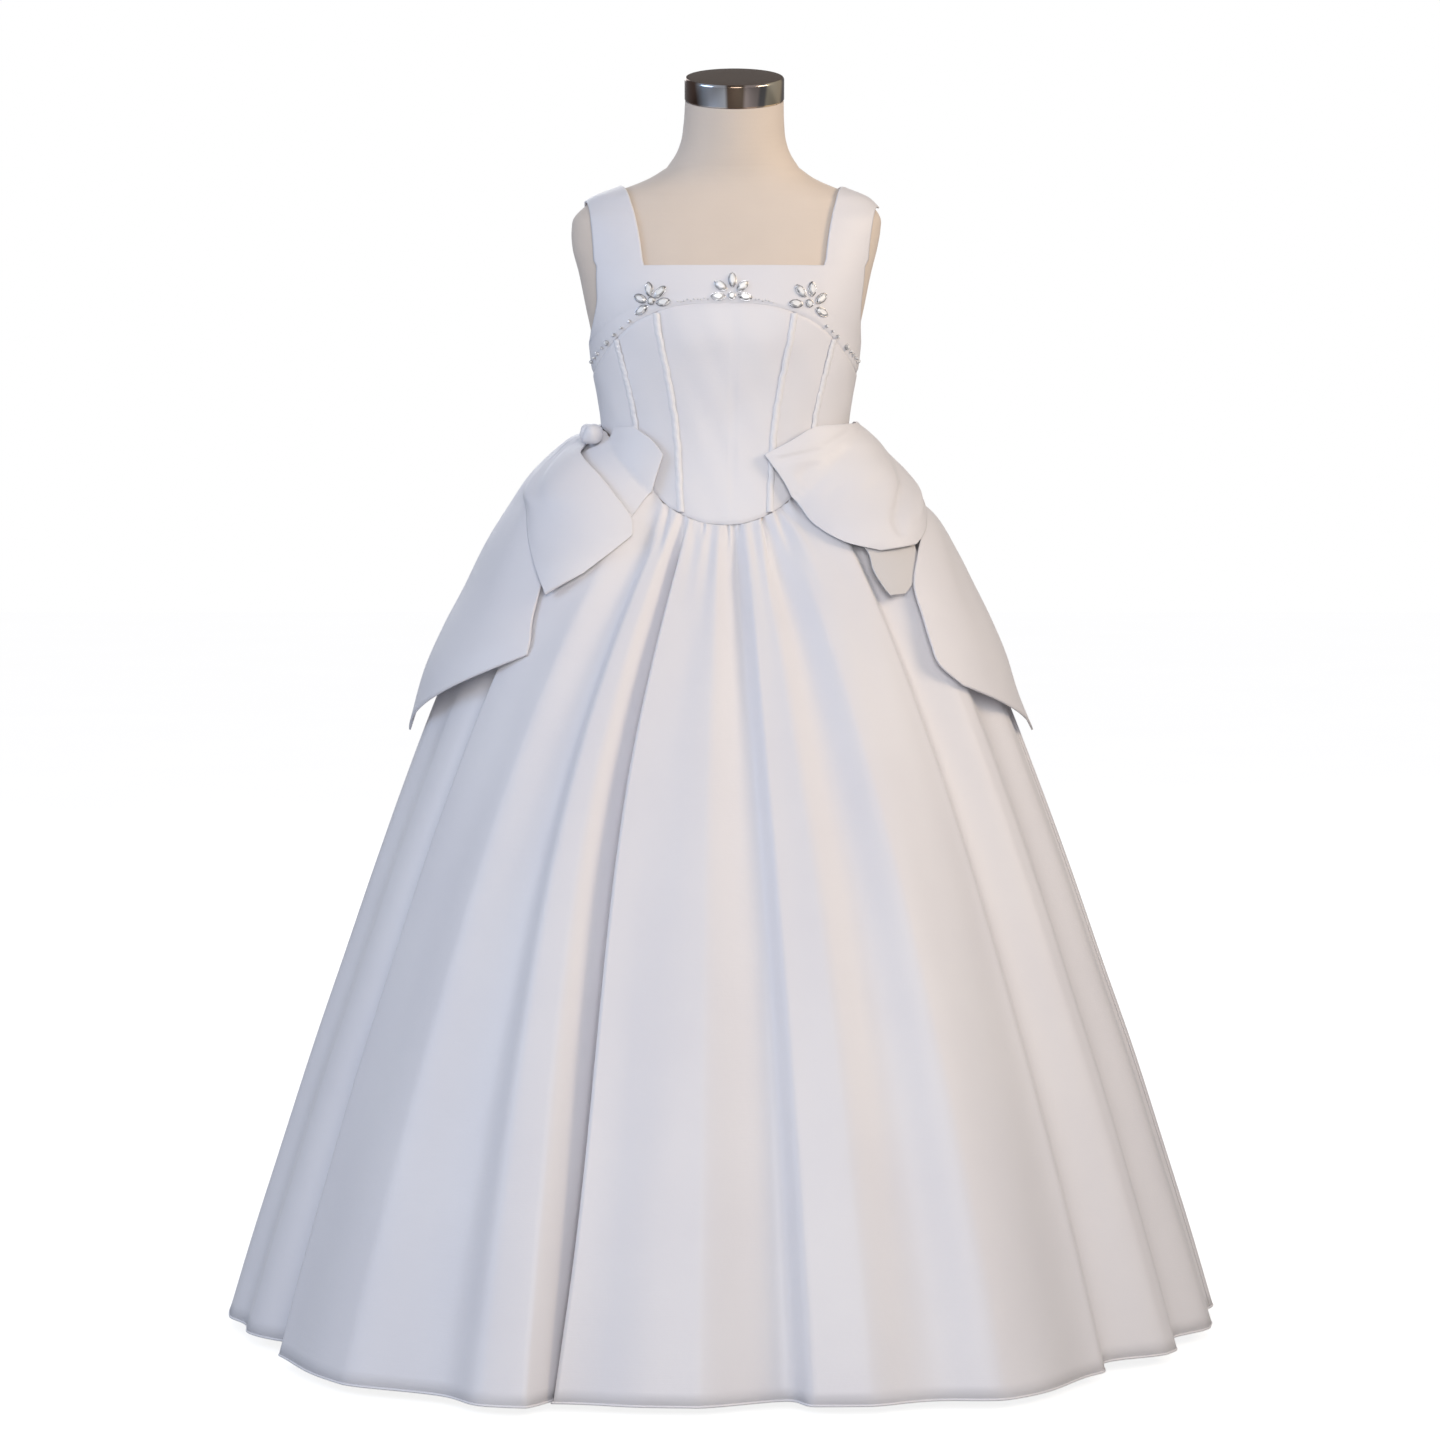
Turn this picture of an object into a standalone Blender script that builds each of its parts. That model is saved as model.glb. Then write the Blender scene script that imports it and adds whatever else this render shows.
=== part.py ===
"""A child's communion dress, worn by a limbless dress form on a stand.

Metres, +Z up. The front faces -Y and the viewer's right is +X. The origin is on
the floor, under the middle of the stand's base.
"""

import math
from collections import namedtuple

import bmesh
import bpy
import numpy as np

# Driving sizes
WALL = 0.0016  # thickness of every cloth wall
SEAM_GAP = 0.0003  # between neighbouring pieces
EDGE_GAP = 0.0007  # between outer edges that run down the dress; their inner edges lean in
BODICE_EASE = 0.0022  # between the form and the inside of the bodice
HEM_HEIGHT = 0.008  # the hem hangs this far above the floor at the front and back
HEM_RISE = 0.005  # and this much higher at the sides
SKIRT_LEAN = -0.003  # the skirt hangs this far off the form's axis, along X
LEAN_SHARE = 0.3  # and reaches that at this share of its length

# Seams and edges of the bodice
YOKE_SEAM_TOP = 0.933  # height of the curved yoke seam at the centre front
YOKE_SEAM_DROP = 0.062  # how far that seam falls to the side seam
YOKE_SEAM_HALF_WIDTH = 0.1235
YOKE_SEAM_POWER = 3.0
ARMHOLE_BOTTOM = 0.897
ARMHOLE_ROUND = 0.038  # height of the armhole's rounded foot
ARMHOLE_ANGLE = 75.0  # the armhole's edges run up at this angle
ARMHOLE_ANGLE_LEFT = 69.0  # and the left armhole's front edge at this one
NECKLINE_FRONT = 0.966
NECKLINE_BACK = 0.975
NECK_CORNER_LEFT = -0.70  # the square neckline's corners, as shares of the yoke's width
NECK_CORNER_RIGHT = 0.75
NECK_CORNER_BACK = 0.72
SHOULDER_INNER_X = 0.101
SHOULDER_OUTER_X = 0.131
SHOULDER_SHIFT = 0.006  # the straps sit this far towards +X
SHOULDER_SEAM = 0.7  # half the shoulder seam's gap, in degrees over the shoulder
SHOULDER_CORE = 1.000  # rays that find the shoulder's surface start at this height
RAY_REACH = 0.12
RAY_HALVINGS = 40
SIDE_SEAM_ANGLE = 90.0

# Gathers under the waist seam
GATHERS = 48
COLUMNS_PER_GATHER = 3
GATHER_DEPTH = 0.0018
GATHER_FADE = 0.20  # share of the skirt's length where the gathers have faded
GATHER_TAPER = 1.5
GATHER_UNEVEN = 0.25  # how much the gathers' lengths vary round the waist
GATHER_WAVES = 5
GATHER_PHASE = 40
GATHER_START_DEPTH = 0.45  # share of their depth that the gathers have at the seam itself
GATHER_START = 0.03  # share of the skirt's length over which they reach all of it

# Raised piping over the bodice's front seams
PIPING_RADIUS = 0.0015

# Rhinestones
STONE_LENGTH = 0.0125
STONE_WIDTH = 0.0066
STONE_HEIGHT = 0.0028
CENTRE_STONE_WIDTH = 0.0064
STONE_POINT = 0.3  # how sharply the stones' ends narrow

# The stand
BASE_RADIUS = 0.150
BASE_THICKNESS = 0.012
POLE_RADIUS = 0.0125
FORM_RINGS = 25
FORM_COLUMNS = 32
FORM_RING_SHARES = [0.0, 0.42, 0.62, 1.0]  # the rings lie closest over the shoulders
FORM_RING_HEIGHTS = [0.620, 0.945, 1.003, 1.0555]
NECK_TILT = math.radians(12.5)
NECK_TILT_SHARE = 0.65  # share of the neck's length over which it leans to the full tilt
CAP_RADIUS = 0.0450
CAP_HEIGHT = 0.0213
CAP_TOP = (0.0085, -0.008, 1.137)
CAP_EDGE = 0.0015
BASE_EDGE = 0.002

FormSection = namedtuple("FormSection", "height half_width half_depth centre_x centre_y squareness")
FORM = [
    FormSection(0.620, 0.1140, 0.0870, 0.0000, 0.000, 2.3),
    FormSection(0.660, 0.1203, 0.0913, 0.0000, 0.000, 2.3),
    FormSection(0.700, 0.1213, 0.0913, 0.0000, 0.000, 2.3),
    FormSection(0.735, 0.1188, 0.0883, 0.0000, 0.000, 2.3),
    FormSection(0.770, 0.1138, 0.0828, 0.0000, 0.000, 2.3),
    FormSection(0.800, 0.1100, 0.0780, 0.0000, 0.000, 2.3),
    FormSection(0.825, 0.1088, 0.0763, 0.0000, 0.000, 2.3),
    FormSection(0.850, 0.1125, 0.0768, 0.0000, 0.000, 2.3),
    FormSection(0.877, 0.1175, 0.0788, 0.0000, 0.000, 2.3),
    FormSection(0.904, 0.1207, 0.0808, 0.0000, 0.000, 2.3),
    FormSection(0.930, 0.1262, 0.0790, 0.0000, 0.001, 2.3),
    FormSection(0.960, 0.1323, 0.0735, 0.0000, 0.003, 2.3),
    FormSection(0.985, 0.1385, 0.0662, 0.0000, 0.005, 2.2),
    FormSection(1.000, 0.1400, 0.0608, 0.0010, 0.006, 2.2),
    FormSection(1.010, 0.1390, 0.0568, 0.0020, 0.006, 2.1),
    FormSection(1.0195, 0.1315, 0.0525, 0.0035, 0.006, 2.0),
    FormSection(1.027, 0.1215, 0.0495, 0.0045, 0.006, 2.0),
    FormSection(1.0335, 0.1050, 0.0470, 0.0050, 0.006, 2.0),
    FormSection(1.045, 0.0765, 0.0450, 0.0060, 0.006, 2.0),
    FormSection(1.0555, 0.0600, 0.0447, 0.0072, 0.005, 2.0),
]

# The neck's rings, by their share of the way from the shoulders to the cap
NeckRing = namedtuple("NeckRing", "share half_width half_depth")
NECK = [
    NeckRing(0.20, 0.0520, 0.0448),
    NeckRing(0.40, 0.0475, 0.0446),
    NeckRing(0.65, 0.0455, 0.0445),
    NeckRing(1.00, 0.0445, 0.0445),
]

# The waist seam dips to a rounded point at the front. Angles run from the centre front.
WaistPoint = namedtuple("WaistPoint", "angle height")
WAIST = [
    WaistPoint(0, 0.7350),
    WaistPoint(12, 0.7370),
    WaistPoint(25, 0.7450),
    WaistPoint(36, 0.7570),
    WaistPoint(43, 0.7700),
    WaistPoint(54, 0.7900),
    WaistPoint(68, 0.8110),
    WaistPoint(90, 0.8230),
    WaistPoint(120, 0.8180),
    WaistPoint(150, 0.8080),
    WaistPoint(180, 0.8030),
]

# How far the skirt stands out from the waist seam, down its length
Flare = namedtuple("Flare", "share front side back")
FLARE = [
    Flare(0.00, 0.000, 0.0000, 0.000),
    Flare(0.02, 0.010, 0.0150, 0.016),
    Flare(0.05, 0.026, 0.0350, 0.040),
    Flare(0.10, 0.053, 0.0640, 0.073),
    Flare(0.15, 0.078, 0.0880, 0.102),
    Flare(0.20, 0.101, 0.1090, 0.128),
    Flare(0.30, 0.144, 0.1450, 0.174),
    Flare(0.40, 0.183, 0.1765, 0.214),
    Flare(0.50, 0.217, 0.2060, 0.248),
    Flare(0.60, 0.248, 0.2340, 0.278),
    Flare(0.70, 0.276, 0.2625, 0.304),
    Flare(0.80, 0.302, 0.2890, 0.326),
    Flare(0.90, 0.325, 0.3150, 0.345),
    Flare(1.00, 0.346, 0.3395, 0.360),
]
SKIRT_ROWS = [0.0, 0.02, 0.05, 0.09, 0.15, 0.23, 0.34, 0.48, 0.64, 0.82, 1.0]

# Folds of the skirt. Each is a valley, or a swell where its depth is below zero: its
# angle, its reach to each side in degrees, its depth at the waist and at the hem, how
# far its lips are drawn together at the hem for each degree of reach, how far it leans
# and curls sideways there, and how steep each of its sides is
FOLD_START = 0.06  # share of the skirt's length over which a fold begins
FOLD_GROWTH = 0.8
PINCH_GROWTH = 2.5
PINCH_REACH = 1.8  # how far outside the lips their shift fades, in reaches of the fold
CURL_START = 0.2  # shares of the skirt's length between which a fold curls sideways
CURL_END = 0.9
CURL_REACH = 14.0  # degrees over which that shift fades
Fold = namedtuple("Fold", "angle left right depth_top depth_hem pinch lean curl steep_left steep_right")
FOLDS = [
    Fold(-104, 8, 10, 0.006, 0.030, 0.0005, 0.006, 0.000, 2, 2),
    Fold(-78, 7, 9, 0.003, 0.014, 0.0003, -0.004, 0.000, 2, 2),
    Fold(-64.5, 11, 5, 0.008, 0.040, 0.0005, 0.012, 0.000, 2, 2),
    Fold(-35, 28, 20, 0.000, -0.040, 0.0000, 0.000, 0.000, 2, 2),
    Fold(-36, 8, 6, 0.010, 0.026, 0.0000, 0.014, 0.000, 2, 2),
    Fold(-22.5, 4.5, 2.5, 0.016, 0.044, 0.0066, 0.000, 0.026, 1.2, 4),
    Fold(4.5, 8, 6, 0.010, 0.026, 0.0000, 0.020, 0.000, 2, 2),
    Fold(24, 8, 7, 0.012, 0.020, 0.0000, 0.000, 0.000, 2, 2),
    Fold(30, 22, 18, 0.000, -0.032, 0.0000, 0.000, 0.000, 2, 2),
    Fold(53.5, 6, 8, 0.008, 0.026, 0.0003, -0.004, 0.000, 2, 2),
    Fold(70, 7, 8, 0.006, 0.022, 0.0003, 0.000, 0.000, 2, 2),
    Fold(86, 6, 6, 0.004, 0.012, 0.0002, 0.003, 0.000, 2, 2),
    Fold(108, 9, 9, 0.008, 0.030, 0.0005, 0.005, 0.000, 2, 2),
    Fold(131, 8, 8, 0.008, 0.034, 0.0005, 0.000, 0.000, 2, 2),
    Fold(154, 8, 9, 0.009, 0.026, 0.0004, -0.004, 0.000, 2, 2),
    Fold(176, 9, 8, 0.009, 0.034, 0.0005, 0.004, 0.000, 2, 2),
    Fold(-157, 8, 9, 0.009, 0.028, 0.0004, 0.003, 0.000, 2, 2),
    Fold(-130, 9, 8, 0.008, 0.034, 0.0005, -0.005, 0.000, 2, 2),
]

# Panels of the bodice, by the angles of their side edges at the yoke seam and the waist
Panel = namedtuple("Panel", "name start_top start_waist end_top end_waist columns")
PANELS = [
    Panel("bodice_front", -40, -25, 40, 25, 9),
    Panel("bodice_side_front_left", -60, -51, -40, -25, 4),
    Panel("bodice_side_front_right", 40, 25, 60, 51, 4),
    Panel("bodice_side_left", -90, -90, -60, -51, 4),
    Panel("bodice_side_right", 60, 51, 90, 90, 4),
    Panel("bodice_side_back_left", -138, -146, -90, -90, 6),
    Panel("bodice_side_back_right", 90, 90, 138, 146, 6),
    Panel("bodice_back_left", -180, -180, -138, -146, 5),
    Panel("bodice_back_right", 138, 146, 180, 180, 5),
]
BODICE_ROWS = 8
PIPED_PANELS = ["bodice_front", "bodice_side_left", "bodice_side_right"]

# Rows of the yoke, by share of the way from its seam to the neckline's height
YOKE_ROWS = [0.0, 0.14, 0.27, 0.33, 0.42, 0.55, 0.76, 1.0]
STRAP_COLUMNS = 4
STRAP_ROWS = 6

# The hip bows' cloths: rows from top to bottom, each from edge a (smaller angle) to
# edge b. Angles in degrees, heights and lifts in metres; belly adds lift in the middle.
FlapRow = namedtuple("FlapRow", "angle_a height_a lift_a angle_b height_b lift_b belly")
BOW_CLOTHS = {
    "bow_left_rear_flap": [
        FlapRow(-65, 0.8222, 0.0034, -53, 0.8230, 0.0060, 0.001),
        FlapRow(-69, 0.8085, 0.0040, -43, 0.8110, 0.0070, 0.001),
        FlapRow(-76, 0.7955, 0.0056, -36, 0.7970, 0.0070, 0.002),
        FlapRow(-73, 0.7850, 0.0062, -38, 0.7800, 0.0070, 0.003),
        FlapRow(-60, 0.7690, 0.0072, -40, 0.7600, 0.0070, 0.002),
        FlapRow(-51, 0.7520, 0.0049, -42, 0.7410, 0.0050, 0.001),
    ],
    "bow_left_front_flap": [
        FlapRow(-87, 0.8150, 0.0100, -80.5, 0.8135, 0.0036, 0.000),
        FlapRow(-86, 0.8075, 0.0185, -77, 0.8065, 0.0052, 0.001),
        FlapRow(-84, 0.7990, 0.0210, -71, 0.8000, 0.0140, 0.002),
        FlapRow(-83, 0.7880, 0.0240, -66, 0.7940, 0.0170, 0.003),
        FlapRow(-81, 0.7760, 0.0270, -57, 0.7800, 0.0170, 0.005),
        FlapRow(-77, 0.7610, 0.0265, -48, 0.7620, 0.0160, 0.006),
        FlapRow(-73, 0.7470, 0.0194, -40, 0.7420, 0.0125, 0.007),
        FlapRow(-65, 0.7180, 0.0158, -37.5, 0.7270, 0.0110, 0.006),
        FlapRow(-58, 0.6960, 0.0170, -42, 0.7090, 0.0110, 0.004),
        FlapRow(-52.5, 0.6750, 0.0150, -46, 0.6930, 0.0110, 0.001),
    ],
    "bow_left_tail": [
        FlapRow(-100, 0.8160, 0.0130, -86, 0.8150, 0.0036, 0.001),
        FlapRow(-101, 0.8085, 0.0210, -84.5, 0.8050, 0.0080, 0.003),
        FlapRow(-104, 0.7800, 0.0250, -70, 0.7770, 0.0090, 0.006),
        FlapRow(-105, 0.7500, 0.0210, -64, 0.7520, 0.0090, 0.007),
        FlapRow(-105, 0.7150, 0.0200, -59, 0.7150, 0.0085, 0.007),
        FlapRow(-104, 0.6750, 0.0170, -56.5, 0.6800, 0.0080, 0.007),
        FlapRow(-101, 0.6350, 0.0170, -54.5, 0.6530, 0.0080, 0.009),
        FlapRow(-97, 0.5900, 0.0180, -52.5, 0.6350, 0.0080, 0.009),
        FlapRow(-92, 0.5450, 0.0140, -52.0, 0.6220, 0.0064, 0.007),
    ],
    "bow_right_flap": [
        FlapRow(64, 0.8250, 0.0070, 100, 0.8270, 0.0080, 0.001),
        FlapRow(51, 0.8220, 0.0070, 110, 0.8200, 0.0100, 0.003),
        FlapRow(38, 0.8090, 0.0070, 112, 0.8090, 0.0100, 0.006),
        FlapRow(23.5, 0.7970, 0.0070, 112, 0.7970, 0.0105, 0.005),
        FlapRow(27.5, 0.7870, 0.0075, 109, 0.7860, 0.0110, 0.006),
        FlapRow(33, 0.7710, 0.0080, 101, 0.7740, 0.0120, 0.006),
        FlapRow(36.5, 0.7540, 0.0085, 88, 0.7610, 0.0150, 0.005),
        FlapRow(38.5, 0.7370, 0.0090, 77, 0.7430, 0.0160, 0.006),
        FlapRow(45, 0.7210, 0.0100, 71, 0.7290, 0.0150, 0.004),
        FlapRow(54, 0.7130, 0.0110, 65, 0.7180, 0.0140, 0.001),
    ],
    "bow_right_underlay": [
        FlapRow(48, 0.7400, 0.0060, 68, 0.7420, 0.0060, 0.000),
        FlapRow(51, 0.7140, 0.0060, 67, 0.7160, 0.0060, 0.000),
        FlapRow(50, 0.6970, 0.0060, 65, 0.7000, 0.0060, 0.001),
        FlapRow(50.5, 0.6830, 0.0060, 61, 0.6870, 0.0060, 0.001),
        FlapRow(51.5, 0.6740, 0.0060, 56, 0.6750, 0.0060, 0.000),
    ],
    "bow_right_tail": [
        FlapRow(84, 0.7740, 0.0034, 97, 0.7740, 0.0034, 0.000),
        FlapRow(80, 0.7580, 0.0065, 101, 0.7580, 0.0075, 0.000),
        FlapRow(76, 0.7400, 0.0100, 104, 0.7400, 0.0130, 0.004),
        FlapRow(66, 0.7120, 0.0095, 104, 0.7100, 0.0130, 0.004),
        FlapRow(59, 0.6830, 0.0090, 103, 0.6800, 0.0120, 0.004),
        FlapRow(57.5, 0.6560, 0.0080, 102, 0.6500, 0.0120, 0.005),
        FlapRow(56.5, 0.6330, 0.0080, 100, 0.6100, 0.0120, 0.005),
        FlapRow(56.5, 0.6130, 0.0080, 96, 0.5750, 0.0110, 0.003),
        FlapRow(61.0, 0.5940, 0.0080, 92, 0.5450, 0.0130, 0.001),
    ],
}
FLAP_COLUMNS = 5

# The knots that the bow cloths spread from
Knot = namedtuple("Knot", "name angle height lift half_width half_depth half_height")
KNOTS = [
    Knot("bow_left_knot", -74, 0.8145, 0.0154, 0.0125, 0.0105, 0.0105),
    Knot("bow_right_knot", 125, 0.8210, 0.0106, 0.0125, 0.0085, 0.0105),
]

# Rings of a stone: size beside its girdle's, and share of its height
StoneRing = namedtuple("StoneRing", "size rise")
STONE_RINGS = [StoneRing(0.9, 0.0), StoneRing(1.0, 0.4), StoneRing(0.5, 1.0)]

# Rhinestones: place across the front, height, turn of the long axis in degrees
Stone = namedtuple("Stone", "x height turn")
STONES = [
    Stone(0.0065, 0.9525, 90),
    Stone(-0.0040, 0.9475, 145),
    Stone(0.0155, 0.9472, 42),
    Stone(-0.0062, 0.9383, 178),
    Stone(0.0178, 0.9380, -12),
    Stone(-0.0677, 0.9446, 106),
    Stone(-0.0578, 0.9422, 48),
    Stone(-0.0754, 0.9366, 156),
    Stone(-0.0550, 0.9333, 6),
    Stone(-0.0745, 0.9265, 212),
    Stone(0.0676, 0.9432, 130),
    Stone(0.0777, 0.9450, 82),
    Stone(0.0858, 0.9368, 38),
    Stone(0.0632, 0.9320, 178),
    Stone(0.0864, 0.9250, -28),
]
CENTRE_STONES = [
    Stone(0.0060, 0.9388, 0),
    Stone(-0.0657, 0.9345, 0),
    Stone(0.0752, 0.9325, 0),
]


def colour(name, rgb, roughness, metallic=0.0):
    """A plain Principled material."""
    material = bpy.data.materials.new(name)
    material.use_nodes = True
    shader = material.node_tree.nodes["Principled BSDF"]
    shader.inputs["Base Color"].default_value = (*rgb, 1.0)
    shader.inputs["Roughness"].default_value = roughness
    shader.inputs["Metallic"].default_value = metallic
    material.diffuse_color = (*rgb, 1.0)
    return material


def curve_through(table, key, column):
    """A smooth curve through one column of a table, as a function of its key column."""
    places = np.array([getattr(row, key) for row in table], float)
    values = np.array([getattr(row, column) for row in table], float)
    slopes = np.gradient(values, places)
    steps = np.diff(places)

    def value(at):
        at = np.clip(at, places[0], places[-1])
        i = np.clip(np.searchsorted(places, at) - 1, 0, len(steps) - 1)
        share = (at - places[i]) / steps[i]
        rise = share * share * (3 - 2 * share)
        out = share * (1 - share) ** 2
        back = -share * share * (1 - share)
        return (
            values[i] * (1 - rise)
            + values[i + 1] * rise
            + steps[i] * (slopes[i] * out + slopes[i + 1] * back)
        )

    return value


form_half_width = curve_through(FORM, "height", "half_width")
form_half_depth = curve_through(FORM, "height", "half_depth")
form_centre_x = curve_through(FORM, "height", "centre_x")
form_centre_y = curve_through(FORM, "height", "centre_y")
form_squareness = curve_through(FORM, "height", "squareness")
waist_curve = curve_through(WAIST, "angle", "height")
flare_front = curve_through(FLARE, "share", "front")
flare_side = curve_through(FLARE, "share", "side")
flare_back = curve_through(FLARE, "share", "back")


def form_point(angle, height):
    """The form's surface at an angle from the centre front, in degrees, and a height."""
    turn = np.radians(angle)
    power = form_squareness(height)
    reach = (
        (np.abs(np.sin(turn)) / form_half_width(height)) ** power
        + (np.abs(np.cos(turn)) / form_half_depth(height)) ** power
    ) ** (-1 / power)
    return np.stack(
        [
            form_centre_x(height) + reach * np.sin(turn),
            form_centre_y(height) - reach * np.cos(turn),
            height + 0 * reach,
        ],
        axis=-1,
    )


def form_depth(point):
    """Negative inside the form, positive outside it."""
    x, y, z = point[..., 0], point[..., 1], point[..., 2]
    power = form_squareness(z)
    return (
        (np.abs(x - form_centre_x(z)) / form_half_width(z)) ** power
        + (np.abs(y - form_centre_y(z)) / form_half_depth(z)) ** power
        - 1
    )


def form_normal(point):
    """The direction straight out of the form, at or near its surface."""
    step = 0.0005
    rise = [
        form_depth(point + offset) - form_depth(point - offset)
        for offset in np.eye(3) * step
    ]
    normal = np.stack(rise, axis=-1)
    return normal / np.linalg.norm(normal, axis=-1, keepdims=True)


def lifted(point, lift):
    """Points of the form's surface, moved straight out."""
    return point + form_normal(point) * np.asarray(lift)[..., None]


def over_shoulder(x, slope, lift):
    """A point over the shoulder, at a slope in degrees: 0 faces front, 90 up, 180 back."""
    x, slope = np.broadcast_arrays(np.asarray(x, float), np.asarray(slope, float))
    core = np.stack([x, 0 * x + form_centre_y(SHOULDER_CORE), 0 * x + SHOULDER_CORE], -1)
    turn = np.radians(slope)
    ray = np.stack([0 * x, -np.cos(turn), np.sin(turn)], -1)
    near = np.zeros(x.shape)
    far = near + RAY_REACH
    for _ in range(RAY_HALVINGS):
        middle = (near + far) / 2
        inside = form_depth(core + ray * middle[..., None]) < 0
        near = np.where(inside, middle, near)
        far = np.where(inside, far, middle)
    return lifted(core + ray * near[..., None], lift)


def bodice_point(angle, height, lift=0.0):
    """The bodice's outer surface."""
    return lifted(form_point(angle, height), BODICE_EASE + WALL + lift)


def yoke_seam(angle):
    """Height of the seam under the yoke."""
    middle = bodice_point(angle, YOKE_SEAM_TOP - YOKE_SEAM_DROP / 2 + 0 * angle)
    across = np.minimum(np.abs(middle[..., 0]) / YOKE_SEAM_HALF_WIDTH, 1)
    front = YOKE_SEAM_TOP - YOKE_SEAM_DROP * across**YOKE_SEAM_POWER
    back = YOKE_SEAM_TOP - YOKE_SEAM_DROP
    return np.where(np.abs(angle) < SIDE_SEAM_ANGLE, front, back)


def waist_seam(angle):
    """Height of the seam between bodice and skirt."""
    return waist_curve(np.abs((np.asarray(angle) + 180) % 360 - 180))


def hem_height(angle):
    """Height of the skirt's hem."""
    return HEM_HEIGHT + HEM_RISE * np.sin(np.radians(angle)) ** 2


def skirt_fold(angle, share):
    """Radial and sideways shift that the folds give, in metres."""
    out = np.zeros(np.broadcast(angle, share).shape)
    along = out.copy()
    turning = np.clip((share - CURL_START) / (CURL_END - CURL_START), 0, 1)
    turning = turning * turning * (3 - 2 * turning)
    for fold in FOLDS:
        off = (angle - fold.angle + 180) % 360 - 180
        reach = np.where(off < 0, fold.left, fold.right)
        place = np.abs(off) / reach
        bump = np.clip(1 - place ** np.where(off < 0, fold.steep_left, fold.steep_right), 0, None) ** 2
        grow = share**FOLD_GROWTH
        depth = fold.depth_top + (fold.depth_hem - fold.depth_top) * grow
        depth = depth * np.clip(share / FOLD_START, 0, 1)
        out -= depth * bump
        lips = np.where(place < 1, place, np.exp(-(((place - 1) / PINCH_REACH) ** 2)))
        along -= np.sign(off) * reach * fold.pinch * share**PINCH_GROWTH * lips
        along += fold.lean * grow * bump
        along += fold.curl * turning * np.exp(-((off / CURL_REACH) ** 2))
    return out, along


def skirt_gather(angle, share):
    """Radial shift that the small gathers under the waist seam give."""
    wave = np.sin(np.radians(angle * GATHER_WAVES + GATHER_PHASE))
    length = GATHER_FADE * (1 - GATHER_UNEVEN * (1 - wave))
    fade = np.clip(1 - share / length, 0, 1) ** GATHER_TAPER
    start = GATHER_START_DEPTH + (1 - GATHER_START_DEPTH) * np.clip(share / GATHER_START, 0, 1)
    return GATHER_DEPTH * (1 - np.cos(np.radians(angle * GATHERS))) * fade * start


def skirt_point(angle, share, lift=0.0, folds=1.0):
    """The skirt's outer surface at an angle and a share of the way from waist to hem."""
    angle, share = np.broadcast_arrays(np.asarray(angle, float), np.asarray(share, float))
    top = bodice_point(angle, waist_seam(angle))
    top[..., 2] -= SEAM_GAP
    turn = np.radians(angle)
    side = np.sin(turn) ** 2
    ahead = np.where(np.cos(turn) > 0, flare_front(share), flare_back(share))
    flare = flare_side(share) * side + ahead * (1 - side)
    out, along = skirt_fold(angle, share)
    reach = flare + folds * (out + skirt_gather(angle, share)) + lift
    point = np.empty(angle.shape + (3,))
    point[..., 0] = top[..., 0] + reach * np.sin(turn) + folds * along * np.cos(turn)
    point[..., 1] = top[..., 1] - reach * np.cos(turn) + folds * along * np.sin(turn)
    point[..., 0] += SKIRT_LEAN * np.clip(share / LEAN_SHARE, 0, 1)
    point[..., 2] = top[..., 2] + (hem_height(angle) - top[..., 2]) * share
    return point


def under_bow(angle, height, lift):
    """A point lifted off the plain skirt, or off the bodice above the waist seam."""
    angle, height = np.broadcast_arrays(np.asarray(angle, float), np.asarray(height, float))
    waist = waist_seam(angle)
    share = np.clip((waist - height) / (waist - hem_height(angle)), 0, 1)
    low = skirt_point(angle, share, lift, folds=0.0)
    high = bodice_point(angle, np.maximum(height, waist), lift)
    return np.where((height > waist)[..., None], high, low)


def clear_scene():
    for item in list(bpy.data.objects):
        bpy.data.objects.remove(item)


def collect(name):
    collection = bpy.data.collections.new(name)
    bpy.context.scene.collection.children.link(collection)
    return collection


def add_object(name, mesh, material, smooth_below=50):
    """A mesh as a named object of the dress."""
    item = bpy.data.objects.new(name, mesh)
    mesh.materials.append(material)
    mesh.shade_smooth()
    mesh.set_sharp_from_angle(angle=math.radians(smooth_below))
    dress.objects.link(item)
    return item


def grid_mesh(name, points, keep=None):
    """A sheet of quads through rows of points. keep says which cells are cloth."""
    rows, columns = points.shape[:2]
    build = bmesh.new()
    verts = [[None] * columns for _ in range(rows)]
    for i in range(rows - 1):
        for j in range(columns - 1):
            if keep is not None and not keep[i][j]:
                continue
            corners = []
            for a, b in ((i, j), (i, j + 1), (i + 1, j + 1), (i + 1, j)):
                if verts[a][b] is None:
                    verts[a][b] = build.verts.new(points[a, b])
                corners.append(verts[a][b])
            build.faces.new(corners)
    mesh = bpy.data.meshes.new(name)
    build.to_mesh(mesh)
    build.free()
    return mesh


def cloth(name, points, material, keep=None):
    """A cloth wall: its outer surface from rows of points, thickened inwards.

    Rows run up or down and columns run round, so that the faces point out.
    """
    item = add_object(name, grid_mesh(name, points, keep), material)
    wall = item.modifiers.new("wall", "SOLIDIFY")
    wall.thickness = WALL
    wall.offset = -1.0


def loft(name, rings, material, smooth_below=50):
    """A closed solid through closed rings of points, with flat ends."""
    count = len(rings[0])
    build = bmesh.new()
    loops = [[build.verts.new(point) for point in ring] for ring in rings]
    for low, high in zip(loops, loops[1:]):
        for j in range(count):
            k = (j + 1) % count
            build.faces.new((low[j], low[k], high[k], high[j]))
    build.faces.new(loops[0][::-1])
    build.faces.new(loops[-1])
    bmesh.ops.recalc_face_normals(build, faces=build.faces)
    mesh = bpy.data.meshes.new(name)
    build.to_mesh(mesh)
    build.free()
    return add_object(name, mesh, material, smooth_below)


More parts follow.
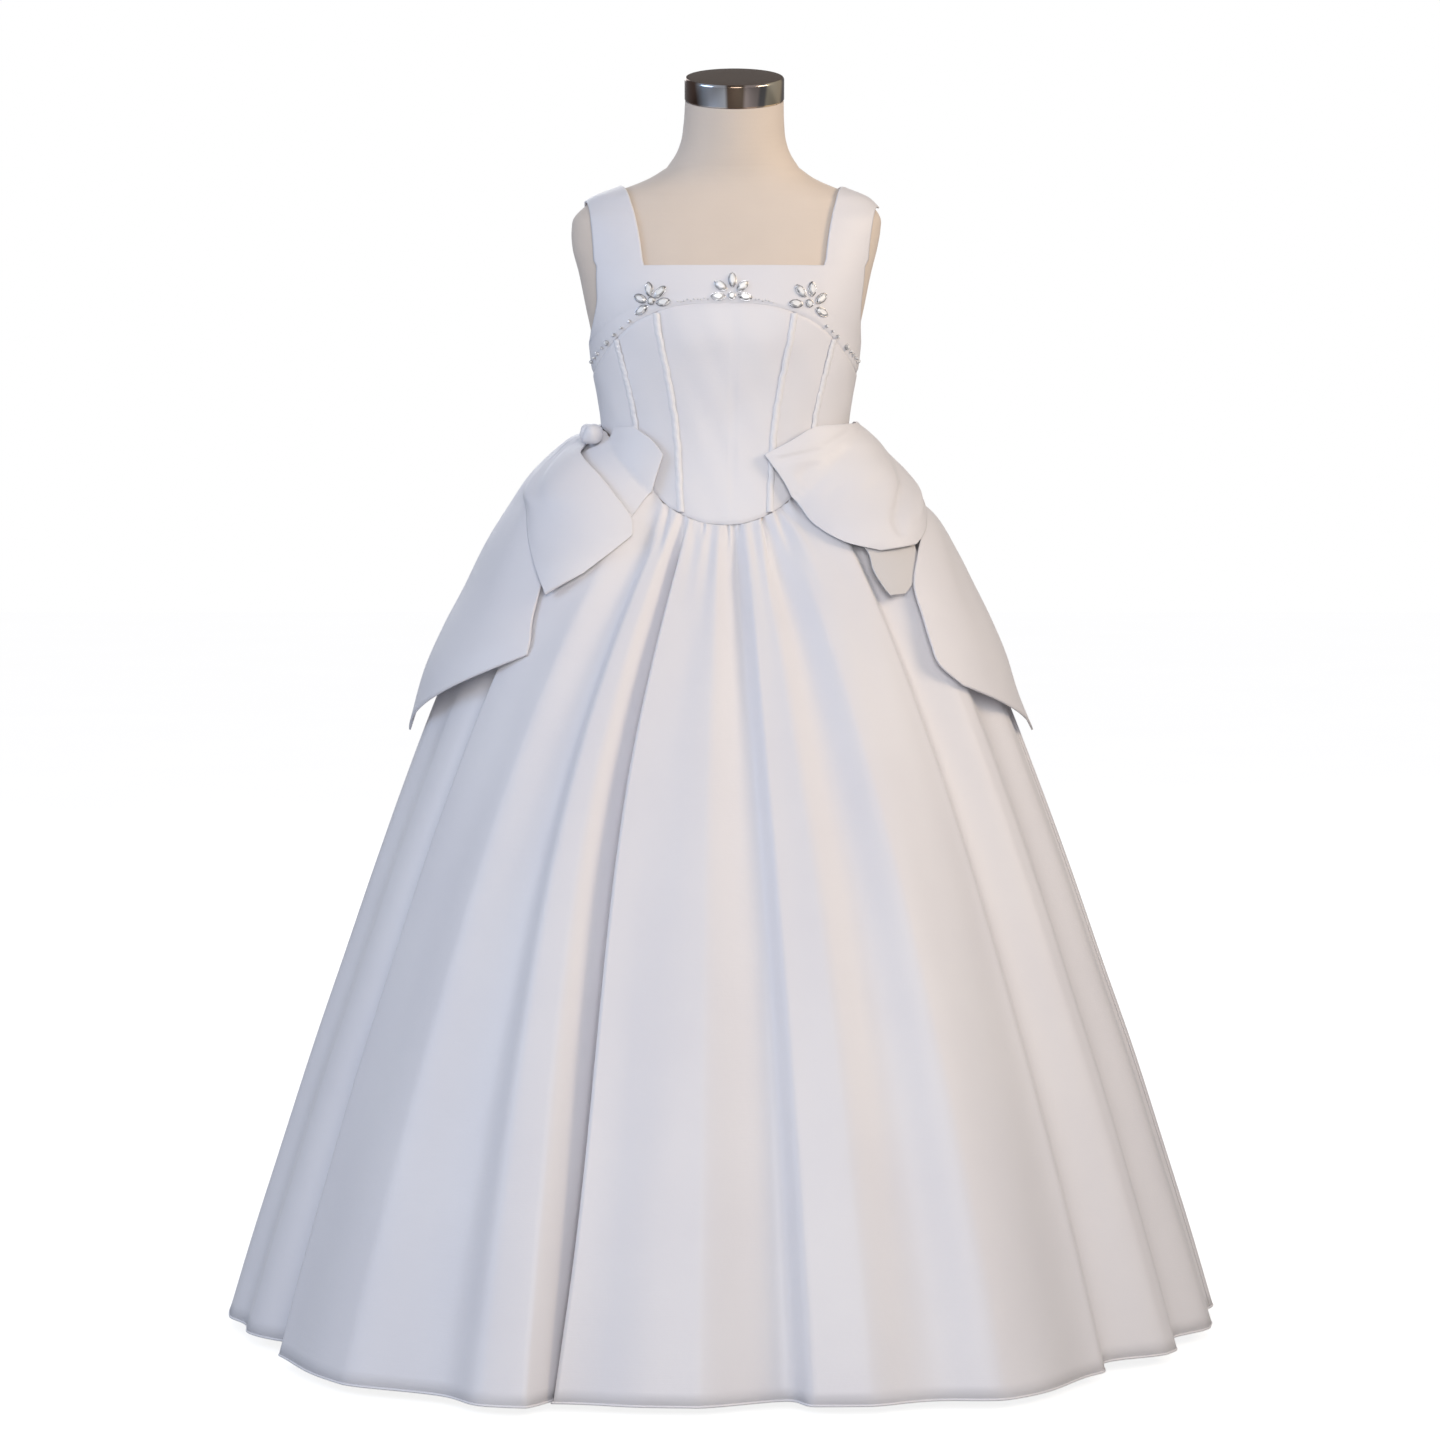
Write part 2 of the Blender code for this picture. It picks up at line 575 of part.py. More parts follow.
clear_scene()
dress = collect("communion_dress")
SATIN = colour("white_satin", (0.86, 0.86, 0.87), 0.45)
SATIN_TRIM = colour("white_piping", (0.88, 0.88, 0.89), 0.5)
STONE = colour("rhinestone", (0.80, 0.82, 0.84), 0.1, 0.6)
JERSEY = colour("beige_jersey", (0.78, 0.70, 0.62), 0.9)
METAL = colour("polished_metal", (0.75, 0.74, 0.72), 0.12, 1.0)


def build_form():
    """The limbless form: torso and neck in one, its metal cap, the pole and the base."""
    around = np.linspace(0, 360, FORM_COLUMNS, endpoint=False)
    heights = np.interp(np.linspace(0, 1, FORM_RINGS), FORM_RING_SHARES, FORM_RING_HEIGHTS)
    rings = [form_point(around, height) for height in heights]
    foot = np.array([FORM[-1].centre_x, FORM[-1].centre_y, FORM[-1].height])
    axis = np.array([0.0, -math.sin(NECK_TILT), math.cos(NECK_TILT)])
    head = np.array(CAP_TOP) - axis * (CAP_HEIGHT + SEAM_GAP)
    turn = np.radians(around)
    for ring in NECK:
        centre = foot + (head - foot) * ring.share
        tilt = NECK_TILT * min(1.0, ring.share / NECK_TILT_SHARE)
        across = np.array([1.0, 0.0, 0.0])
        forward = np.array([0.0, -math.cos(tilt), -math.sin(tilt)])
        rings.append(
            centre
            + np.outer(np.sin(turn) * ring.half_width, across)
            + np.outer(np.cos(turn) * ring.half_depth, forward)
        )
    loft("form_torso", rings, JERSEY)

    bpy.ops.mesh.primitive_cylinder_add(vertices=36, radius=CAP_RADIUS, depth=CAP_HEIGHT)
    cap = bpy.context.object
    cap.name = "neck_cap"
    cap.location = np.array(CAP_TOP) - axis * (CAP_HEIGHT / 2)
    cap.rotation_euler = (NECK_TILT, 0, 0)
    finish_primitive(cap, METAL, bevel=CAP_EDGE)

    pole_bottom = BASE_THICKNESS + SEAM_GAP
    pole_top = FORM[0].height - SEAM_GAP
    bpy.ops.mesh.primitive_cylinder_add(
        vertices=24, radius=POLE_RADIUS, depth=pole_top - pole_bottom
    )
    pole = bpy.context.object
    pole.name = "stand_pole"
    pole.location = (0, 0, (pole_top + pole_bottom) / 2)
    finish_primitive(pole, METAL)

    bpy.ops.mesh.primitive_cylinder_add(
        vertices=48, radius=BASE_RADIUS, depth=BASE_THICKNESS
    )
    base = bpy.context.object
    base.name = "stand_base"
    base.location = (0, 0, BASE_THICKNESS / 2)
    finish_primitive(base, METAL, bevel=BASE_EDGE)


def finish_primitive(item, material, bevel=0.0):
    """Moves a primitive into the dress's collection and gives it its finish."""
    for holder in list(item.users_collection):
        holder.objects.unlink(item)
    dress.objects.link(item)
    item.data.materials.append(material)
    if bevel:
        edge = item.modifiers.new("edge", "BEVEL")
        edge.width = bevel
        edge.segments = 2
        edge.limit_method = "ANGLE"
    item.data.shade_smooth()
    item.data.set_sharp_from_angle(angle=math.radians(40))


def build_skirt():
    """Front panel and two back panels, gathered into the waist seam."""
    step = 360 / (GATHERS * COLUMNS_PER_GATHER)
    rows = np.array(SKIRT_ROWS)[::-1, None]
    for name, start, end in (
        ("skirt_front", -90, 90),
        ("skirt_back_right", 90, 180),
        ("skirt_back_left", 180, 270),
    ):
        angles = np.arange(start, end + step / 2, step)
        points = skirt_point(angles[None, :], rows)
        cloth(name, with_seam_gaps(points), SATIN)


def build_bodice():
    """The panels between the yoke seam and the waist seam, and the piping over seams."""
    up = np.linspace(0, 1, BODICE_ROWS)[:, None]
    for panel in PANELS:
        start = panel.start_waist + (panel.start_top - panel.start_waist) * up
        end = panel.end_waist + (panel.end_top - panel.end_waist) * up
        across = np.linspace(0, 1, panel.columns + 1)[None, :]
        angles = start + (end - start) * across
        low = waist_seam(angles) + SEAM_GAP
        heights = low + (yoke_seam(angles) - SEAM_GAP - low) * up
        points = bodice_point(angles, heights)
        cloth(panel.name, with_seam_gaps(points), SATIN)
        if panel.name in PIPED_PANELS:
            for edge, top_angle in ((0, panel.start_top), (-1, panel.end_top)):
                if abs(top_angle) == SIDE_SEAM_ANGLE:
                    continue
                seam = bodice_point(
                    angles[:, edge], heights[:, edge], PIPING_RADIUS + SEAM_GAP
                )
                place = "front" if panel.name == "bodice_front" else "side"
                side = "left" if angles[0, edge] < 0 else "right"
                cord(f"piping_{place}_{side}", seam)


def cord(name, points):
    """A round cord along a line of points."""
    curve = bpy.data.curves.new(name, "CURVE")
    curve.dimensions = "3D"
    curve.bevel_depth = PIPING_RADIUS
    curve.bevel_resolution = 1
    curve.use_fill_caps = True
    spline = curve.splines.new("POLY")
    spline.points.add(len(points) - 1)
    for target, place in zip(spline.points, points):
        target.co = (*place, 1.0)
    item = bpy.data.objects.new(name, curve)
    curve.materials.append(SATIN_TRIM)
    dress.objects.link(item)


def with_seam_gaps(points):
    """Draws a panel's two side edges in by half an edge gap each."""
    first = points[:, 1] - points[:, 0]
    last = points[:, -1] - points[:, -2]
    points = points.copy()
    points[:, 0] += first / np.linalg.norm(first, axis=-1, keepdims=True) * EDGE_GAP / 2
    points[:, -1] -= last / np.linalg.norm(last, axis=-1, keepdims=True) * EDGE_GAP / 2
    return points


def armhole_angle(height, edge):
    """The armhole's edge in degrees from the front or back, when it runs up at edge."""
    below = np.clip((ARMHOLE_BOTTOM + ARMHOLE_ROUND - height) / ARMHOLE_ROUND, 0, 1)
    curve = 1 - np.sqrt(1 - below**2)
    return edge + (SIDE_SEAM_ANGLE - edge) * curve


def strap(angles, start, slope_end):
    """Rows of points from the neckline's height up to the shoulder seam."""
    x_start = start[:, 0]
    inner_first = abs(x_start[0]) < abs(x_start[-1])
    ends = np.linspace(SHOULDER_INNER_X, SHOULDER_OUTER_X, len(angles))
    if not inner_first:
        ends = ends[::-1]
    x_end = np.sign(x_start) * ends + SHOULDER_SHIFT
    core_y = form_centre_y(SHOULDER_CORE)
    bare = form_point(angles, start[:, 2])
    slopes = np.degrees(np.arctan2(bare[:, 2] - SHOULDER_CORE, core_y - bare[:, 1]))
    slopes = np.where(slopes < -90, slopes + 360, slopes)
    rows = []
    for share in np.arange(1, STRAP_ROWS + 1) / STRAP_ROWS:
        rows.append(
            over_shoulder(
                x_start + (x_end - x_start) * share,
                slopes + (slope_end - slopes) * share,
                BODICE_EASE + WALL,
            )
        )
    return rows


def seam_columns(names):
    """The angles where the columns of the named panels meet the yoke seam."""
    angles = []
    for panel in PANELS:
        if panel.name in names:
            angles.extend(np.linspace(panel.start_top, panel.end_top, panel.columns + 1))
    return np.unique(np.round(angles, 6))


def yoke_piece(name, seam_angles, centre, neckline, corners, slope_end):
    """One piece of the yoke on the panels' columns, with straps at its open ends.

    Every row spreads from the seam's angles to the neckline's. corners gives the
    neckline's two corners as shares of the yoke's half width about the centre angle.
    """
    across = (seam_angles - centre) / SIDE_SEAM_ANGLE
    top_across = across.copy()
    count = len(across)
    first = 0
    last = count - 1
    straps = []
    if np.isclose(across[0], -1):
        first = STRAP_COLUMNS
        top_across[: first + 1] = np.linspace(-1, corners[0], STRAP_COLUMNS + 1)
        straps.append((0, first))
    if np.isclose(across[-1], 1):
        last = count - 1 - STRAP_COLUMNS
        top_across[last:] = np.linspace(corners[1], 1, STRAP_COLUMNS + 1)
        straps.append((last, count - 1))
    between = slice(first, last + 1)
    top_across[between] = np.linspace(top_across[first], top_across[last], last - first + 1)
    side_seam_height = YOKE_SEAM_TOP - YOKE_SEAM_DROP
    rows = []
    for share in YOKE_ROWS:
        side_height = side_seam_height + (neckline - side_seam_height) * share
        spread = across + (top_across - across) * share
        edge = np.where((spread < 0) & (centre == 0), ARMHOLE_ANGLE_LEFT, ARMHOLE_ANGLE)
        angles = centre + spread * armhole_angle(side_height, edge)
        seam = yoke_seam(angles)
        rows.append(bodice_point(angles, seam + (neckline - seam) * share))
    keep = [[True] * (count - 1) for _ in range(len(YOKE_ROWS) - 1)]
    top = [np.zeros((count, 3)) for _ in range(STRAP_ROWS)]
    keep_top = [[False] * (count - 1) for _ in range(STRAP_ROWS)]
    for start, end in straps:
        span = slice(start, end + 1)
        for i, row in enumerate(strap(angles[span], rows[-1][span], slope_end)):
            top[i][span] = row
            keep_top[i][start:end] = [True] * (end - start)
    points = np.array(rows + top)
    below = points[: len(YOKE_ROWS)]
    below[:] = with_seam_gaps(below)
    cloth(name, points, SATIN, keep + keep_top)


def build_yoke():
    """The yoke with its shoulder straps: one front piece and two back pieces."""
    front = [p.name for p in PANELS if abs(p.start_top + p.end_top) / 2 < SIDE_SEAM_ANGLE]
    corners = (NECK_CORNER_LEFT, NECK_CORNER_RIGHT)
    yoke_piece("yoke_front", seam_columns(front), 0.0, NECKLINE_FRONT, corners, 90 - SHOULDER_SEAM)
    corners = (-NECK_CORNER_BACK, NECK_CORNER_BACK)
    right = seam_columns(["bodice_side_back_right", "bodice_back_right"])
    yoke_piece("yoke_back_right", right, 180.0, NECKLINE_BACK, corners, 90 + SHOULDER_SEAM)
    left = seam_columns(["bodice_side_back_left", "bodice_back_left"])
    yoke_piece("yoke_back_left", left, -180.0, NECKLINE_BACK, corners, 90 + SHOULDER_SEAM)


def build_bows():
    """The two hip bows: flaps, tails and the knots that they spread from."""
    across = np.linspace(0, 1, FLAP_COLUMNS + 1)
    for name, rows in BOW_CLOTHS.items():
        points = []
        for row in reversed(rows):
            angles = row.angle_a + (row.angle_b - row.angle_a) * across
            heights = row.height_a + (row.height_b - row.height_a) * across
            lifts = row.lift_a + (row.lift_b - row.lift_a) * across
            lifts = lifts + row.belly * 4 * across * (1 - across)
            points.append(under_bow(angles, heights, lifts))
        cloth(name, np.array(points), SATIN)
    for knot in KNOTS:
        bpy.ops.mesh.primitive_uv_sphere_add(segments=12, ring_count=8, radius=1.0)
        item = bpy.context.object
        item.name = knot.name
        item.scale = (knot.half_width, knot.half_depth, knot.half_height)
        bpy.ops.object.transform_apply(scale=True)
        item.location = bodice_point(knot.angle, knot.height, knot.lift)
        item.rotation_euler = (0, 0, math.radians(knot.angle))
        finish_primitive(item, SATIN)


def angle_of_x(x, height):
    """The angle on the bodice's front at a distance from its middle plane."""
    angles = np.linspace(-SIDE_SEAM_ANGLE, SIDE_SEAM_ANGLE, 721)
    return np.interp(x, bodice_point(angles, height + 0 * angles)[:, 0], angles)


def stone_rings(stone, outline):
    """Rings of a faceted stone whose back follows the yoke: back, girdle and table."""
    angle = angle_of_x(stone.x, stone.height)
    reach = bodice_point(np.array([angle - 0.5, angle + 0.5]), stone.height + np.zeros(2))
    per_degree = np.linalg.norm(reach[1] - reach[0])
    turn = math.radians(stone.turn)
    along = outline[:, 0] * math.cos(turn) - outline[:, 1] * math.sin(turn)
    rise = outline[:, 0] * math.sin(turn) + outline[:, 1] * math.cos(turn)
    rings = []
    for ring in STONE_RINGS:
        rings.append(
            bodice_point(
                angle + along * ring.size / per_degree,
                stone.height + rise * ring.size,
                SEAM_GAP + ring.rise * STONE_HEIGHT,
            )
        )
    return rings


def build_stones():
    """Three clusters of pointed oval rhinestones, each round a small one."""
    ends = np.radians(np.arange(0, 360, 45))
    pointed = np.stack(
        [
            np.cos(ends) * STONE_LENGTH / 2,
            np.sin(ends) * np.abs(np.sin(ends)) ** STONE_POINT * STONE_WIDTH / 2,
        ],
        axis=-1,
    )
    round_one = np.stack([np.cos(ends), np.sin(ends)], axis=-1) * CENTRE_STONE_WIDTH / 2
    for number, stone in enumerate(STONES, 1):
        loft(f"rhinestone_{number:02d}", stone_rings(stone, pointed), STONE, 10)
    for number, stone in enumerate(CENTRE_STONES, 1):
        loft(f"rhinestone_centre_{number}", stone_rings(stone, round_one), STONE, 10)


build_form()
build_bodice()
build_yoke()
build_skirt()
build_bows()
build_stones()
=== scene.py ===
"""The looks of a child's communion dress on a dress form: cloth, trim, stones and light.

Metres, +Z up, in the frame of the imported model. The front faces -Y.
"""

import math
from collections import namedtuple

import bpy
import numpy as np
from mathutils import Matrix


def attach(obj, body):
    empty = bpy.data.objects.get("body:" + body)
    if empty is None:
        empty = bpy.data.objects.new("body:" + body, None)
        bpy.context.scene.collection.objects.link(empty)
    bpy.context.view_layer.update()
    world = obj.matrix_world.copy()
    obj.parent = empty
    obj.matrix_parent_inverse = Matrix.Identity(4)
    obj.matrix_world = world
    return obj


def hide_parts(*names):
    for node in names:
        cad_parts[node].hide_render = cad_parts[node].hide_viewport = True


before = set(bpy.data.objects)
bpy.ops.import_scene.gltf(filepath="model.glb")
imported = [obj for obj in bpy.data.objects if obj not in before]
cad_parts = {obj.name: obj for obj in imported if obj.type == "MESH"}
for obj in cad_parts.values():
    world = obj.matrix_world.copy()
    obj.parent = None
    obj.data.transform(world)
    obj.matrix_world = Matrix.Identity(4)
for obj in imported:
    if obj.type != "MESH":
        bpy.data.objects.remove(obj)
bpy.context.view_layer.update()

# Camera, from the photograph
CAMERA_PLACE = (-0.0045, -5.0, 0.925)
CAMERA_AIM_HEIGHT = 0.5543
CAMERA_LENS = 137.5
CAMERA_SENSOR = 36.0

# Cloth
WALL = 0.0014
SEAM_GAP = 0.0003
BODICE_EASE = 0.0022
BODICE_WALL = 0.0016
HEM_HEIGHT = 0.008
HEM_RISE = 0.005
HEM_ROLL_RADIUS = 0.0011
HEM_ROLL_INSET = 0.0006
SKIRT_LEAN = -0.003
LEAN_SHARE = 0.3

# Seams and edges of the bodice
YOKE_SEAM_TOP = 0.933
YOKE_SEAM_DROP = 0.062
YOKE_SEAM_HALF_WIDTH = 0.1235
YOKE_SEAM_POWER = 3.0
ARMHOLE_BOTTOM = 0.897
ARMHOLE_ROUND = 0.038
ARMHOLE_ANGLE = 75.0
ARMHOLE_ANGLE_LEFT = 69.0
NECKLINE_FRONT = 0.966
NECKLINE_BACK = 0.975
NECK_CORNER_LEFT = -0.70
NECK_CORNER_RIGHT = 0.75
NECK_CORNER_BACK = 0.72
STRAP_FOOT_FRONT = 0.667
STRAP_FOOT_BACK = 0.644
SHOULDER_INNER_X = 0.101
SHOULDER_OUTER_X = 0.131
SHOULDER_SHIFT = 0.006
SHOULDER_SEAM = 0.3
SHOULDER_CORE = 1.000
SHOULDER_REACH = 0.12
SHOULDER_SEARCH_STEPS = 40
SIDE_SEAM_ANGLE = 90.0
SEAM_DIP = 0.0009
SEAM_DIP_WIDTH = 0.0022

# Gathers under the waist seam
GATHERS = 48
GATHER_DEPTH = 0.0018
GATHER_FADE = 0.20
GATHER_TAPER = 1.5
GATHER_UNEVEN = 0.25
GATHER_WAVES = 5
GATHER_PHASE = 40
GATHER_START_DEPTH = 0.45
GATHER_START = 0.03

STONE_LENGTH = 0.0125
STONE_WIDTH = 0.0066
STONE_HEIGHT = 0.0028
CENTRE_STONE_WIDTH = 0.0064

NECK_TILT = math.radians(12.5)
NECK_TILT_SHARE = 0.65
CAP_RADIUS = 0.0450
CAP_HEIGHT = 0.0213
CAP_EDGE = 0.0012
CAP_ROUNDING = 0.00264
CAP_TOP = (0.0085, -0.008, 1.137)
BASE_RADIUS = 0.150
BASE_THICKNESS = 0.012
BASE_EDGE = 0.0015
POLE_RADIUS = 0.0125
AXIS_RADIUS = 0.0008  # of the small face that closes a turned solid at its axis

FormSection = namedtuple("FormSection", "height half_width half_depth centre_x centre_y squareness")
FORM = [
    FormSection(0.620, 0.1140, 0.0870, 0.0000, 0.000, 2.3),
    FormSection(0.660, 0.1203, 0.0913, 0.0000, 0.000, 2.3),
    FormSection(0.700, 0.1213, 0.0913, 0.0000, 0.000, 2.3),
    FormSection(0.735, 0.1188, 0.0883, 0.0000, 0.000, 2.3),
    FormSection(0.770, 0.1138, 0.0828, 0.0000, 0.000, 2.3),
    FormSection(0.800, 0.1100, 0.0780, 0.0000, 0.000, 2.3),
    FormSection(0.825, 0.1088, 0.0763, 0.0000, 0.000, 2.3),
    FormSection(0.850, 0.1125, 0.0768, 0.0000, 0.000, 2.3),
    FormSection(0.877, 0.1175, 0.0788, 0.0000, 0.000, 2.3),
    FormSection(0.904, 0.1207, 0.0808, 0.0000, 0.000, 2.3),
    FormSection(0.930, 0.1262, 0.0790, 0.0000, 0.001, 2.3),
    FormSection(0.960, 0.1323, 0.0735, 0.0000, 0.003, 2.3),
    FormSection(0.985, 0.1385, 0.0662, 0.0000, 0.005, 2.2),
    FormSection(1.000, 0.1400, 0.0608, 0.0010, 0.006, 2.2),
    FormSection(1.010, 0.1390, 0.0568, 0.0020, 0.006, 2.1),
    FormSection(1.0195, 0.1315, 0.0525, 0.0035, 0.006, 2.0),
    FormSection(1.027, 0.1215, 0.0495, 0.0045, 0.006, 2.0),
    FormSection(1.0335, 0.1050, 0.0470, 0.0050, 0.006, 2.0),
    FormSection(1.045, 0.0765, 0.0450, 0.0060, 0.006, 2.0),
    FormSection(1.0555, 0.0600, 0.0447, 0.0072, 0.005, 2.0),
]
FORM_RING_SHARES = [0.0, 0.42, 0.62, 1.0]
FORM_RING_HEIGHTS = [0.620, 0.945, 1.003, 1.0555]

NeckRing = namedtuple("NeckRing", "share half_width half_depth")
NECK = [
    NeckRing(0.00, 0.0600, 0.0447),
    NeckRing(0.20, 0.0520, 0.0448),
    NeckRing(0.40, 0.0475, 0.0446),
    NeckRing(0.65, 0.0455, 0.0445),
    NeckRing(1.00, 0.0445, 0.0445),
]

WaistPoint = namedtuple("WaistPoint", "angle height")
WAIST = [
    WaistPoint(0, 0.7350),
    WaistPoint(12, 0.7370),
    WaistPoint(25, 0.7450),
    WaistPoint(36, 0.7570),
    WaistPoint(43, 0.7700),
    WaistPoint(54, 0.7900),
    WaistPoint(68, 0.8110),
    WaistPoint(90, 0.8230),
    WaistPoint(120, 0.8180),
    WaistPoint(150, 0.8080),
    WaistPoint(180, 0.8030),
]

Flare = namedtuple("Flare", "share front side back")
FLARE = [
    Flare(0.00, 0.000, 0.0000, 0.000),
    Flare(0.02, 0.010, 0.0150, 0.016),
    Flare(0.05, 0.026, 0.0350, 0.040),
    Flare(0.10, 0.053, 0.0640, 0.073),
    Flare(0.15, 0.078, 0.0880, 0.102),
    Flare(0.20, 0.101, 0.1090, 0.128),
    Flare(0.30, 0.144, 0.1450, 0.174),
    Flare(0.40, 0.183, 0.1765, 0.214),
    Flare(0.50, 0.217, 0.2060, 0.248),
    Flare(0.60, 0.248, 0.2340, 0.278),
    Flare(0.70, 0.276, 0.2625, 0.304),
    Flare(0.80, 0.302, 0.2890, 0.326),
    Flare(0.90, 0.325, 0.3150, 0.345),
    Flare(1.00, 0.346, 0.3395, 0.360),
]

# Folds of the skirt: angle, reach to each side in degrees, depth at the waist and the
# hem, how far its lips draw together at the hem for each degree of reach, how far it
# leans and curls sideways there, and how steep each of its sides is
FOLD_START = 0.06
FOLD_GROWTH = 0.8
PINCH_GROWTH = 2.5
PINCH_REACH = 1.8
CURL_START = 0.2
CURL_END = 0.9
CURL_REACH = 14.0
Fold = namedtuple("Fold", "angle left right depth_top depth_hem pinch lean curl steep_left steep_right")
FOLDS = [
    Fold(-104, 8, 10, 0.006, 0.030, 0.0005, 0.006, 0.000, 2, 2),
    Fold(-78, 7, 9, 0.003, 0.014, 0.0003, -0.004, 0.000, 2, 2),
    Fold(-64.5, 11, 5, 0.008, 0.040, 0.0005, 0.012, 0.000, 2, 2),
    Fold(-35, 28, 20, 0.000, -0.040, 0.0000, 0.000, 0.000, 2, 2),
    Fold(-36, 8, 6, 0.010, 0.026, 0.0000, 0.014, 0.000, 2, 2),
    Fold(-22.5, 4.5, 2.5, 0.016, 0.044, 0.0066, 0.000, 0.026, 1.2, 4),
    Fold(4.5, 8, 6, 0.010, 0.026, 0.0000, 0.020, 0.000, 2, 2),
    Fold(24, 8, 7, 0.012, 0.020, 0.0000, 0.000, 0.000, 2, 2),
    Fold(30, 22, 18, 0.000, -0.032, 0.0000, 0.000, 0.000, 2, 2),
    Fold(53.5, 6, 8, 0.008, 0.026, 0.0003, -0.004, 0.000, 2, 2),
    Fold(70, 7, 8, 0.006, 0.022, 0.0003, 0.000, 0.000, 2, 2),
    Fold(86, 6, 6, 0.004, 0.012, 0.0002, 0.003, 0.000, 2, 2),
    Fold(108, 9, 9, 0.008, 0.030, 0.0005, 0.005, 0.000, 2, 2),
    Fold(131, 8, 8, 0.008, 0.034, 0.0005, 0.000, 0.000, 2, 2),
    Fold(154, 8, 9, 0.009, 0.026, 0.0004, -0.004, 0.000, 2, 2),
    Fold(176, 9, 8, 0.009, 0.034, 0.0005, 0.004, 0.000, 2, 2),
    Fold(-157, 8, 9, 0.009, 0.028, 0.0004, 0.003, 0.000, 2, 2),
    Fold(-130, 9, 8, 0.008, 0.034, 0.0005, -0.005, 0.000, 2, 2),
]

Panel = namedtuple("Panel", "name start_top start_waist end_top end_waist")
PANELS = [
    Panel("bodice_front", -40, -25, 40, 25),
    Panel("bodice_side_front_left", -60, -51, -40, -25),
    Panel("bodice_side_front_right", 40, 25, 60, 51),
    Panel("bodice_side_left", -90, -90, -60, -51),
    Panel("bodice_side_right", 60, 51, 90, 90),
    Panel("bodice_side_back_left", -138, -146, -90, -90),
    Panel("bodice_side_back_right", 90, 90, 138, 146),
    Panel("bodice_back_left", -180, -180, -138, -146),
    Panel("bodice_back_right", 138, 146, 180, 180),
]

